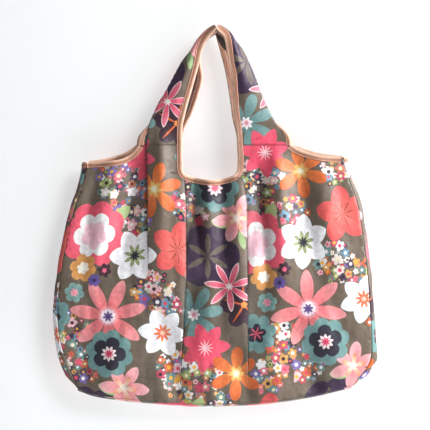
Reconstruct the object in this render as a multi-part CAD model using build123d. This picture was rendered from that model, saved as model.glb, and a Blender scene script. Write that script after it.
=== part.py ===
"""Foldable tote bag, hung by both handle loops.

Frame: millimetres, +Z up, +X to the bag's right seen from the front, and the
front faces -Y. The origin is the seat under the top of the two handle loops,
where a hook's rod lies along Y.

The cloth pieces are thin closed solids. Each one is an outline drawn in XZ,
pushed along Y, and kept only inside a curved layer that gives the bag its
depth, so every seam meets its neighbour face to face.
"""

from build123d import *
import os

# Cloth and tape
CLOTH = 1.2  # thickness of one wall, drawn thicker than the real fabric
TAPE_PROUD = 0.6  # how far a binding stands out from the cloth it wraps
BINDING_WIDTH = 8.0
STRAP_BINDING_WIDTH = 7.0
LAYER_GAP = 0.3  # air between two bodies

# Levels in Z
HANDLE_Z = -195.0  # the handles fold here
HANDLE_TOP_Z = -60.0  # above this the straps are bunched over the hook
FOLD_Z = -430.0  # the bag folds in half here
LOWEST_Z = -640.0

# Outline of the body, as x and z, seen from the front
LEFT_TOP = (-225.0, -224.0)
LEFT_LOW = (-266.0, -581.0)
BOTTOM_LEFT = (-229.0, -611.0)
BOTTOM_RIGHT = (222.0, -610.0)
RIGHT_LOW = (265.0, -578.0)
RIGHT_TOP = (222.0, -216.0)
LEFT_ARMHOLE = [(-130.0, HANDLE_Z), (-144.0, -210.0), (-178.0, -221.0), LEFT_TOP]
LEFT_SIDE = [LEFT_TOP, (-256.0, -337.0), (-273.0, -459.0), (-275.0, -520.0), LEFT_LOW]
BOTTOM = [BOTTOM_LEFT, (-99.0, -632.0), (-20.0, -636.0), (86.0, -631.0), BOTTOM_RIGHT]
RIGHT_SIDE = [RIGHT_LOW, (275.0, -541.0), (268.0, -459.0), (256.0, -337.0), RIGHT_TOP]
RIGHT_ARMHOLE = [RIGHT_TOP, (180.0, -214.0), (143.0, -207.0), (128.0, HANDLE_Z)]
NECK = [
    (38.0, HANDLE_Z),
    (42.0, -228.0),
    (31.0, -253.0),
    (-4.0, -262.0),
    (-43.0, -253.0),
    (-57.0, -228.0),
    (-52.0, HANDLE_Z),
]

# Handle loop, as x and z
LEFT_OUTER = [(-130.0, HANDLE_Z), (-108.0, -153.0), (-74.0, -88.0), (-57.0, HANDLE_TOP_Z)]
LEFT_INNER = [(-52.0, HANDLE_Z), (-40.0, -143.0), (-25.0, -98.0), (-20.0, HANDLE_TOP_Z)]
RIGHT_OUTER = [(128.0, HANDLE_Z), (101.0, -153.0), (72.0, -90.0), (58.0, HANDLE_TOP_Z)]
RIGHT_INNER = [(38.0, HANDLE_Z), (32.0, -143.0), (25.0, -98.0), (20.0, HANDLE_TOP_Z)]
LOOP_CROWN = [LEFT_OUTER[-1], (-44.0, -39.0), (-22.0, -9.0), (8.0, 5.0), (34.0, -17.0), RIGHT_OUTER[-1]]
SEAT_HALF_WIDTH = 7.0  # the hook seat is an arc with its top at the origin
SEAT_DROP = 10.0

# Depth, as y and z of the front wall's outer face and of the front handle
WALL = [(-13.0, HANDLE_Z), (-21.5, -300.0), (-26.0, FOLD_Z), (-24.5, -560.0), (-20.0, LOWEST_Z)]
HANDLE_FRONT = [(-13.0, HANDLE_Z), (-13.2, -120.0), (-15.0, HANDLE_TOP_Z), (-22.0, 6.0)]
HANDLE_BACK = [(-10.4, HANDLE_Z), (-10.0, -120.0), (-8.6, HANDLE_TOP_Z), (-2.0, 6.0)]

# Pleat tacks beside the neck, and the care label in the left seam
TACK_PLACES = [(-69.0, -243.0), (54.0, -243.0)]
TACK_WIDTH = 10.0
TACK_HEIGHT = 2.5
TACK_THICKNESS = 0.8
LABEL_HEIGHT = 45.0
LABEL_TOP_Z = -310.0
LABEL_INNER_X = -218.0
LABEL_Y = 10.0
LABEL_THICKNESS = 0.6

# Stow pouch, hung inside the back wall by a tape
POUCH_WIDTH = 130.0
POUCH_TOP_Z = -280.0
POUCH_BOTTOM_Z = -408.0
POUCH_MOUTH_DROP = 6.0  # the front wall starts this far below the back wall
POUCH_FRONT_Y = 6.0
POUCH_BACK_Y = 14.0
POUCH_EDGE = 3.0
HANGER_WIDTH = 22.0
HANGER_TOP_Z = -271.0
HANGER_BOTTOM_Z = -279.5
MOUTH_HEM_HEIGHT = 8.0

# Press stud at the pouch's mouth
SNAP_Z = -302.0
SNAP_CAP_R = 6.0
SNAP_CAP_THICKNESS = 1.4
SOCKET_R = 5.0
SOCKET_BORE_R = 2.1
SOCKET_HEIGHT = 1.8
STUD_FLANGE_R = 4.5
STUD_FLANGE_HEIGHT = 0.7
STUD_R = 2.0
STUD_HEIGHT = 1.6

REACH = 320.0  # half length of a solid that is cut to size afterwards


def drawn_xz(points):
    """The points of an outline, placed in the XZ plane."""
    return [Vector(x, 0, z) for x, z in points]


def drawn_yz(points, shift=0.0):
    """The points of a depth line, moved along Y and placed in the YZ plane."""
    return [Vector(0, y + shift, z) for y, z in points]


def closed_face(lines):
    """The face inside lines that follow each other end to end."""
    return Face(Wire(lines))


def bordered(edge, other):
    """The face between two point lists that run the same way."""
    return closed_face(
        [
            Spline(*edge),
            Line(edge[-1], other[-1]),
            Spline(*other),
            Line(other[0], edge[0]),
        ]
    )


def shifted(points, distance):
    """An outline's points moved sideways, to the left of its direction."""
    moved = []
    for i, (x, z) in enumerate(points):
        before = points[max(i - 1, 0)]
        after = points[min(i + 1, len(points) - 1)]
        along = Vector(after[0] - before[0], after[1] - before[1], 0).normalized()
        moved.append((x - along.Y * distance, z + along.X * distance))
    return moved


def pushed_y(face):
    """An XZ face made solid through the whole depth of the bag."""
    return extrude(face, amount=REACH, dir=(0, 1, 0), both=True)


def layer(front, back):
    """The solid between two depth lines, as wide as the bag and more."""
    return extrude(bordered(front, back), amount=REACH, dir=(1, 0, 0), both=True)


def wall_layer(outward=0.0, inward=CLOTH):
    """The front wall's own layer, made thicker outward or inward."""
    return layer(drawn_yz(WALL, -outward), drawn_yz(WALL, inward))


def inside_layer(margin=CLOTH):
    """The room between the front and back walls, a margin inside their faces."""
    back = [(-y, z) for y, z in WALL]
    return layer(drawn_yz(WALL, margin), drawn_yz(back, -margin))


def handle_layer(proud=0.0):
    """The front handle's layer, flat at the base and bunched at the top."""
    return layer(drawn_yz(HANDLE_FRONT, -proud), drawn_yz(HANDLE_BACK, proud))


def between(low_z, high_z):
    """Everything between two levels."""
    height = high_z - low_z
    return Pos(0, 0, (low_z + high_z) / 2) * Box(2 * REACH, 2 * REACH, height)


def block(x, y, z):
    """A box from pairs of low and high limits."""
    centre = [sum(limits) / 2 for limits in (x, y, z)]
    size = [limits[1] - limits[0] for limits in (x, y, z)]
    return Pos(*centre) * Box(*size)


def disc(radius, y_low, y_high):
    """A disc of the press stud, lying along Y at the stud's place."""
    middle = Pos(0, (y_low + y_high) / 2, SNAP_Z) * Rot(90, 0, 0)
    return middle * Cylinder(radius, y_high - y_low)


def body_face():
    """The whole body's outline, with its armholes and neck."""
    outline = [LEFT_ARMHOLE, LEFT_SIDE, BOTTOM, RIGHT_SIDE, RIGHT_ARMHOLE, NECK]
    lines = []
    for run, following in zip(outline, outline[1:] + outline[:1]):
        lines.append(Spline(*drawn_xz(run)))
        if run[-1] != following[0]:
            lines.append(Line(*drawn_xz([run[-1], following[0]])))
    return closed_face(lines)


def binding_face(edge, width):
    """A binding's flat shape: a band to the left of an edge's direction."""
    return bordered(drawn_xz(edge), drawn_xz(shifted(edge, width)))


def edge_bindings():
    """Bindings of the front wall's neck and armholes."""
    wrap = wall_layer(TAPE_PROUD, CLOTH + TAPE_PROUD) & between(LOWEST_Z, HANDLE_Z)
    edges = {
        "neck_binding": NECK,
        "left_armhole_binding": LEFT_ARMHOLE,
        "right_armhole_binding": RIGHT_ARMHOLE,
    }
    body = pushed_y(body_face())
    return {
        name: pushed_y(binding_face(edge, BINDING_WIDTH)) & wrap & body
        for name, edge in edges.items()
    }


def front_body():
    """The front wall in its two halves, its bindings and its pleat tacks."""
    pieces = edge_bindings()
    wall = pushed_y(body_face()) & wall_layer()
    for binding in list(pieces.values()):
        wall -= binding
    pieces["panel_upper"] = wall & between(FOLD_Z, HANDLE_Z)
    pieces["panel_lower"] = wall & between(LOWEST_Z, FOLD_Z - LAYER_GAP)
    skin = wall_layer(TACK_THICKNESS, 0.0)
    tacks = Part()
    for x, z in TACK_PLACES:
        footprint = (x - TACK_WIDTH / 2, x + TACK_WIDTH / 2)
        height = (z - TACK_HEIGHT / 2, z + TACK_HEIGHT / 2)
        tacks += block(footprint, (-REACH, 0.0), height) & skin
    pieces["pleat_tacks"] = tacks
    return pieces


def gussets():
    """The side gussets in two halves, their top bindings and the base."""
    inside = inside_layer()
    inside_bindings = inside_layer(CLOTH + TAPE_PROUD)
    upper = between(FOLD_Z, HANDLE_Z)
    lower = between(LOWEST_Z, FOLD_Z - LAYER_GAP)
    pieces = {}
    for side, edge in {"left": LEFT_SIDE, "right": RIGHT_SIDE}.items():
        gusset = pushed_y(binding_face(edge, CLOTH)) & inside
        top_z = edge[0][1] if side == "left" else edge[-1][1]
        hem = between(top_z - BINDING_WIDTH, HANDLE_Z)
        pieces[f"{side}_gusset_binding"] = gusset & hem & inside_bindings
        pieces[f"{side}_gusset_upper"] = (gusset & upper) - hem
        pieces[f"{side}_gusset_lower"] = gusset & lower
    corners = [[LEFT_LOW, BOTTOM_LEFT], BOTTOM, [BOTTOM_RIGHT, RIGHT_LOW]]
    base = Part()
    for run in corners:
        top = shifted(run, CLOTH)
        lines = [
            Spline(*drawn_xz(run)) if len(run) > 2 else Line(*drawn_xz(run)),
            Line(*drawn_xz([run[-1], top[-1]])),
            Spline(*drawn_xz(top)) if len(top) > 2 else Line(*drawn_xz(top)),
            Line(*drawn_xz([top[0], run[0]])),
        ]
        base += pushed_y(closed_face(lines)) & inside
    for side in ("left", "right"):
        base -= pieces[f"{side}_gusset_lower"]
    pieces["base_panel"] = base
    return pieces


def front_handle():
    """The front handle loop: two straps, the bunched top and four bindings."""
    cloth = handle_layer()
    wrap = handle_layer(TAPE_PROUD)
    strap_zone = between(HANDLE_Z + LAYER_GAP, HANDLE_TOP_Z)
    edges = {
        "left": (LEFT_OUTER, LEFT_INNER, -1.0),
        "right": (RIGHT_OUTER, RIGHT_INNER, 1.0),
    }
    pieces = {}
    for side, (outer, inner, turn) in edges.items():
        outline = pushed_y(bordered(drawn_xz(outer), drawn_xz(inner)))
        strap = outline & cloth & strap_zone
        bands = {
            f"{side}_outer_binding": binding_face(outer, turn * STRAP_BINDING_WIDTH),
            f"{side}_inner_binding": binding_face(inner, -turn * STRAP_BINDING_WIDTH),
        }
        for name, face in bands.items():
            binding = pushed_y(face) & outline & wrap & strap_zone
            strap -= binding
            pieces[name] = binding
        pieces[f"{side}_strap"] = strap
    seat_ends = [(SEAT_HALF_WIDTH, -SEAT_DROP), (0.0, 0.0), (-SEAT_HALF_WIDTH, -SEAT_DROP)]
    crown = closed_face(
        [
            Spline(*drawn_xz(LOOP_CROWN)),
            Line(*drawn_xz([LOOP_CROWN[-1], RIGHT_INNER[-1]])),
            Line(*drawn_xz([RIGHT_INNER[-1], seat_ends[0]])),
            ThreePointArc(*drawn_xz(seat_ends)),
            Line(*drawn_xz([seat_ends[-1], LEFT_INNER[-1]])),
            Line(*drawn_xz([LEFT_INNER[-1], LOOP_CROWN[0]])),
        ]
    )
    pieces["top"] = pushed_y(crown) & cloth & between(HANDLE_TOP_Z, REACH)
    return pieces


def pouch():
    """The stow pouch, its hanging tape and its press stud."""
    half = POUCH_WIDTH / 2
    full_x = (-half, half)
    front_in = POUCH_FRONT_Y + CLOTH
    back_in = POUCH_BACK_Y - CLOTH
    mouth_z = POUCH_TOP_Z - POUCH_MOUTH_DROP
    hem_z = mouth_z - MOUTH_HEM_HEIGHT
    middle = (front_in, back_in)
    frame = block(full_x, middle, (POUCH_BOTTOM_Z, mouth_z))
    room_x = (-half + POUCH_EDGE, half - POUCH_EDGE)
    room = block(room_x, middle, (POUCH_BOTTOM_Z + POUCH_EDGE, mouth_z))
    socket = disc(SOCKET_R, back_in - SOCKET_HEIGHT, back_in)
    socket -= disc(SOCKET_BORE_R, back_in - SOCKET_HEIGHT, back_in)
    stud = disc(STUD_FLANGE_R, front_in, front_in + STUD_FLANGE_HEIGHT)
    stud += disc(STUD_R, front_in, front_in + STUD_HEIGHT)
    hanger_x = (-HANGER_WIDTH / 2, HANGER_WIDTH / 2)
    hanger = block(hanger_x, (back_in, REACH), (HANGER_BOTTOM_Z, HANGER_TOP_Z))
    return {
        "pouch_back": block(full_x, (back_in, POUCH_BACK_Y), (POUCH_BOTTOM_Z, POUCH_TOP_Z)),
        "pouch_front": block(full_x, (POUCH_FRONT_Y, front_in), (POUCH_BOTTOM_Z, hem_z)),
        "pouch_mouth_hem": block(full_x, (POUCH_FRONT_Y - TAPE_PROUD, front_in), (hem_z, mouth_z)),
        "pouch_edging": frame - room,
        "pouch_hanging_tape": hanger & inside_layer(),
        "snap_front_cap": disc(SNAP_CAP_R, POUCH_FRONT_Y - SNAP_CAP_THICKNESS, POUCH_FRONT_Y),
        "snap_back_cap": disc(SNAP_CAP_R, POUCH_BACK_Y, POUCH_BACK_Y + SNAP_CAP_THICKNESS),
        "snap_socket": socket,
        "snap_stud": stud,
    }


def care_label(gusset):
    """A blank label held in the seam of the left gusset, lying inside the bag."""
    label = block(
        (-REACH, LABEL_INNER_X),
        (LABEL_Y, LABEL_Y + LABEL_THICKNESS),
        (LABEL_TOP_Z - LABEL_HEIGHT, LABEL_TOP_Z),
    )
    return (label & pushed_y(body_face())) - gusset


def all_pieces():
    """Every node of the bag by name."""
    pieces = gussets() | pouch()
    pieces["care_label"] = care_label(pieces["left_gusset_upper"])
    for name, piece in front_body().items():
        pieces[f"front_{name}"] = piece
        pieces[f"back_{name}"] = mirror(piece, about=Plane.XZ)
    for name, piece in front_handle().items():
        pieces[f"front_handle_{name}"] = piece
        pieces[f"back_handle_{name}"] = mirror(piece, about=Plane.XZ)
    return pieces


def main():
    os.makedirs("parts", exist_ok=True)
    for name, piece in sorted(all_pieces().items()):
        solids = piece.solids()
        shape = solids[0] if len(solids) == 1 else Compound(children=solids)
        shape.label = name
        export_step(shape, f"parts/{name}.step")
        print(f"{name}: {len(solids)} solid, {shape.volume:.0f} mm3")


main()
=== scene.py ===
"""Looks of a foldable tote bag: printed taffeta, bias bindings, pleats and stow pouch.

Lengths are millimetres in the row frame until a mesh is made, which is in metres.
X runs to the right seen from the front, Z is up, and the front wall faces -Y. The
origin is the seat under the top of the two handle loops.
"""

import logging
import math
from dataclasses import dataclass
from enum import Enum
from typing import Callable, Sequence

import bpy
import numpy as np
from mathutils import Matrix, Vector, noise
from mathutils.geometry import delaunay_2d_cdt


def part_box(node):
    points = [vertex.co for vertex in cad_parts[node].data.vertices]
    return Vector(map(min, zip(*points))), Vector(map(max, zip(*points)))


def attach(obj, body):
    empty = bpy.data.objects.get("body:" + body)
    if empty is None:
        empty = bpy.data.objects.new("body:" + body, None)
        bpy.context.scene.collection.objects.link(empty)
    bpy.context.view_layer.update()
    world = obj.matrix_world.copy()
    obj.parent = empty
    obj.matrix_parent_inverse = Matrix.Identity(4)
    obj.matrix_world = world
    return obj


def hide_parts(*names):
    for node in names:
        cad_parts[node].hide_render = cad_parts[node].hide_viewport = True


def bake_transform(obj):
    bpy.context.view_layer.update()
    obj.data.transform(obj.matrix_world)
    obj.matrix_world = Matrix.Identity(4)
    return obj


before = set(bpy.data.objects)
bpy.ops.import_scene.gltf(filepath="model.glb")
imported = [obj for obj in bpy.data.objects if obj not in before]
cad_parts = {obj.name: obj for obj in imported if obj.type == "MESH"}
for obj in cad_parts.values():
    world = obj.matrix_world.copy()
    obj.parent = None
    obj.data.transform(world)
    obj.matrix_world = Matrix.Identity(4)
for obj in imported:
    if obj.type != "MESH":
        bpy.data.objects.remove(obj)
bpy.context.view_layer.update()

LOG = logging.getLogger("tote_bag")
MM = 0.001
POUCH_HINGE_Z = -271.0  # where the pouch hangs from its tape
POUCH_SWING_DEGREES = 10.0
CLOTH_UV = "cloth"

Points = Sequence[tuple[float, float]]
Array = np.ndarray


def level(node: str, top: bool) -> float:
    """The Z of a CAD node's top or bottom, in millimetres."""
    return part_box(node)[1 if top else 0].z / MM


HANDLE_Z = level("front_panel_upper", True)
FOLD_Z = level("front_panel_upper", False)
BASE_Z = level("base_panel", False)
APEX_Z = level("front_handle_top", True)


class Side(Enum):
    """A wall of the bag, or the handle that belongs to it."""

    FRONT = -1
    BACK = 1

    @property
    def word(self) -> str:
        """The side's name as the nodes spell it."""
        return self.name.lower()


class Hand(Enum):
    """A half of the bag, seen from the front."""

    LEFT = -1
    RIGHT = 1

    @property
    def word(self) -> str:
        """The half's name as the nodes spell it."""
        return self.name.lower()


# ---------------------------------------------------------------- curves


def smoothstep(x: Array | float, low: float, high: float) -> Array:
    """A soft step from 0 at low to 1 at high.

    Args:
        x: Where to read the step.
        low: Where the step starts.
        high: Where the step ends; it may be less than low.

    Returns:
        The step's values, from 0 to 1.
    """
    t = np.clip((np.asarray(x, float) - low) / (high - low), 0.0, 1.0)
    return t * t * (3.0 - 2.0 * t)


def bell(x: Array, width: float) -> Array:
    """A bell curve of height 1 and the given half width."""
    return np.exp(-((np.asarray(x, float) / width) ** 2))


def catmull(points: Sequence[Sequence[float]], t: Array) -> Array:
    """Points on a smooth curve through the given points.

    Args:
        points: The points to pass through, evenly spaced in t from 0 to 1.
        t: Where to read the curve.

    Returns:
        One row for each t.
    """
    p = np.asarray(points, float)
    p = np.vstack([2 * p[0] - p[1], p, 2 * p[-1] - p[-2]])
    spans = len(p) - 3
    at = np.clip(np.asarray(t, float), 0.0, 1.0) * spans
    i = np.minimum(at.astype(int), spans - 1)
    u = (at - i)[:, None]
    a, b, c, d = p[i], p[i + 1], p[i + 2], p[i + 3]
    return 0.5 * (
        2 * b + (c - a) * u + (2 * a - 5 * b + 4 * c - d) * u**2 + (3 * b - a - 3 * c + d) * u**3
    )


def run_lengths(path: Array) -> Array:
    """The length along a path at each of its points."""
    steps = np.linalg.norm(np.diff(path, axis=0), axis=1)
    return np.concatenate([[0.0], np.cumsum(steps)])


def resample(points: Sequence[Sequence[float]], spacing: float, smooth: bool = True) -> Array:
    """A path at even spacing.

    Args:
        points: The path's own points.
        spacing: The distance between the new points.
        smooth: Whether the path is a curve through its points or straight runs.

    Returns:
        The new points, the first and last kept.
    """
    dense = np.asarray(points, float)
    if smooth and len(dense) > 2:
        dense = catmull(dense, np.linspace(0, 1, 40 * len(dense)))
    lengths = run_lengths(dense)
    count = max(2, int(round(lengths[-1] / spacing)) + 1)
    at = np.linspace(0, lengths[-1], count)
    return np.stack([np.interp(at, lengths, dense[:, i]) for i in range(dense.shape[1])], 1)


def noise_at(points: Array, scale: float, seed: float) -> Array:
    """Smooth noise from -1 to 1 at each point, with bumps about scale wide."""
    shift = Vector((seed * 17.3, seed * 5.1, seed * 9.7))
    return np.array([noise.noise(Vector(p) / scale + shift) for p in points])


# ---------------------------------------------------------------- meshes


def make_piece(name: str, points: Array, faces: Sequence[Sequence[int]], uv: Array) -> bpy.types.Object:
    """A mesh object with smooth faces and cloth coordinates.

    Args:
        name: The piece's name.
        points: Its points in millimetres.
        faces: Its faces.
        uv: The cloth coordinates of each point, in metres.

    Returns:
        The new object, linked to the scene.
    """
    mesh = bpy.data.meshes.new(name)
    mesh.from_pydata((np.asarray(points) * MM).tolist(), [], [list(map(int, f)) for f in faces])
    mesh.validate()
    mesh.polygons.foreach_set("use_smooth", [True] * len(mesh.polygons))
    layer = mesh.uv_layers.new(name=CLOTH_UV)
    loops = np.zeros(len(mesh.loops), int)
    mesh.loops.foreach_get("vertex_index", loops)
    layer.data.foreach_set("uv", np.asarray(uv, np.float32)[loops].ravel())
    piece = bpy.data.objects.new(name, mesh)
    bpy.context.scene.collection.objects.link(piece)
    return piece


def grid_faces(rows: int, columns: int, closed: bool = False) -> list[tuple[int, ...]]:
    """The quads of a grid of points laid out row by row.

    Args:
        rows: How many rows.
        columns: How many points in a row.
        closed: Whether each row joins end to end.

    Returns:
        The faces.
    """
    faces = []
    for r in range(rows - 1):
        for c in range(columns if closed else columns - 1):
            n = (c + 1) % columns
            faces.append((r * columns + c, r * columns + n, (r + 1) * columns + n, (r + 1) * columns + c))
    return faces


def face_outward(piece: bpy.types.Object, direction: Vector) -> None:
    """Turns a sheet's faces so that most of them look along direction."""
    mesh = piece.data
    total = sum((p.normal * p.area for p in mesh.polygons), Vector())
    if total.dot(direction) < 0:
        mesh.flip_normals()


def bake_modifiers(piece: bpy.types.Object) -> None:
    """Applies a piece's modifiers, so that the mesh is final."""
    graph = bpy.context.evaluated_depsgraph_get()
    mesh = bpy.data.meshes.new_from_object(piece.evaluated_get(graph), depsgraph=graph)
    piece.modifiers.clear()
    old = piece.data
    piece.data = mesh
    bpy.data.meshes.remove(old)
    mesh.name = piece.name


def thicken(piece: bpy.types.Object, thickness: float) -> None:
    """Gives a sheet its thickness, inward, with the second material inside.

    Args:
        piece: The sheet.
        thickness: In millimetres.
    """
    solid = piece.modifiers.new("thickness", "SOLIDIFY")
    solid.thickness = thickness * MM
    solid.offset = -1.0
    solid.material_offset = 1 if len(piece.data.materials) > 1 else 0
    solid.use_even_offset = False
    bake_modifiers(piece)


def tube(path: Array, radius: float, sides: int = 6) -> tuple[Array, list[tuple[int, ...]]]:
    """The points and faces of a thin closed strand along a path.

    Args:
        path: The strand's centre line in millimetres.
        radius: The strand's radius at its middle; it narrows to its ends.
        sides: How many sides the strand has.

    Returns:
        Its points and its faces.
    """
    tangent = np.gradient(path, axis=0)
    tangent /= np.linalg.norm(tangent, axis=1)[:, None] + 1e-9
    across = np.cross(tangent, (0.3, 0.9, 0.2))
    across /= np.linalg.norm(across, axis=1)[:, None] + 1e-9
    other = np.cross(tangent, across)
    swell = np.sin(np.linspace(0.12, math.pi - 0.12, len(path))) ** 0.5
    angle = np.linspace(0, 2 * math.pi, sides, endpoint=False)
    ring = (
        across[:, None] * np.cos(angle)[None, :, None] + other[:, None] * np.sin(angle)[None, :, None]
    )
    points = (path[:, None] + ring * (radius * swell)[:, None, None]).reshape(-1, 3)
    faces = grid_faces(len(path), sides, closed=True)
    faces.append(tuple(range(sides - 1, -1, -1)))
    last = (len(path) - 1) * sides
    faces.append(tuple(range(last, last + sides)))
    return points, faces


# ---------------------------------------------------------------- materials


def linear(colour: str, alpha: float = 1.0) -> tuple[float, float, float, float]:
    """The linear colour of an sRGB hex value such as "#6c5d50"."""
    channels = [int(colour[i : i + 2], 16) / 255.0 for i in (1, 3, 5)]
    values = [c / 12.92 if c <= 0.04045 else ((c + 0.055) / 1.055) ** 2.4 for c in channels]
    return (values[0], values[1], values[2], alpha)


def add(
    tree: bpy.types.NodeTree, kind: str, settings: dict | None = None, **inputs: object
) -> bpy.types.Node:
    """Adds a node with its settings and its links.

    Args:
        tree: The tree it goes in.
        kind: The node's type without the "ShaderNode" in front.
        settings: Attributes to set on the node.
        **inputs: A socket's name or, as i0 and so on, its number, and a value or another socket.

    Returns:
        The new node.
    """
    node = tree.nodes.new(kind if kind.startswith("Node") else "ShaderNode" + kind)
    for key, value in (settings or {}).items():
        setattr(node, key, value)
    for key, value in inputs.items():
        place = int(key[1:]) if key[0] == "i" and key[1:].isdigit() else key.replace("_", " ")
        socket = node.inputs[place]
        if isinstance(value, bpy.types.NodeSocket):
            tree.links.new(value, socket)
        else:
            socket.default_value = value
    return node


def group(name: str, inputs: dict[str, str], outputs: dict[str, str]) -> tuple:
    """A new node group with its sockets.

    Args:
        name: The group's name.
        inputs: Socket names and their kinds.
        outputs: Socket names and their kinds.

    Returns:
        The tree, its input node and its output node.
    """
    tree = bpy.data.node_groups.new(name, "ShaderNodeTree")
    for sockets, way in ((inputs, "INPUT"), (outputs, "OUTPUT")):
        for key, kind in sockets.items():
            tree.interface.new_socket(name=key, in_out=way, socket_type="NodeSocket" + kind)
    return tree, add(tree, "NodeGroupInput"), add(tree, "NodeGroupOutput")


@dataclass(frozen=True)
class Petals:
    """One printed shape of a flower: a disc with lobes, leaves or rays.

    Attributes:
        size: Its radius as a share of the flower's.
        count: How many lobes.
        notch: How deep the gaps between the lobes go, as a share of the radius.
        fullness: 1 for straight rays, 2 to 4 for rounder lobes.
        heart: Its colour towards the middle.
        tip: Its colour at the tips.
        turn: How far it is turned, in lobes.
    """

    size: float
    count: int
    notch: float
    fullness: float
    heart: str
    tip: str
    turn: float = 0.0


@dataclass(frozen=True)
class Flower:
    """A printed flower of the repeat.

    Attributes:
        name: What it is.
        u: Its place across the cloth in millimetres.
        v: Its place down the cloth in millimetres.
        radius: Its radius in millimetres.
        petals: Its shapes, from the lowest to the topmost.
    """

    name: str
    u: float
    v: float
    radius: float
    petals: tuple[Petals, ...]


@dataclass(frozen=True)
class Posy:
    """A patch of the repeat that is filled with small flowers.

    Attributes:
        u: Its place across the cloth in millimetres.
        v: Its place down the cloth in millimetres.
        radius: Its radius in millimetres.
    """

    u: float
    v: float
    radius: float


WHITE = "#f6f3f4"
NAVY = "#2e2838"

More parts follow.
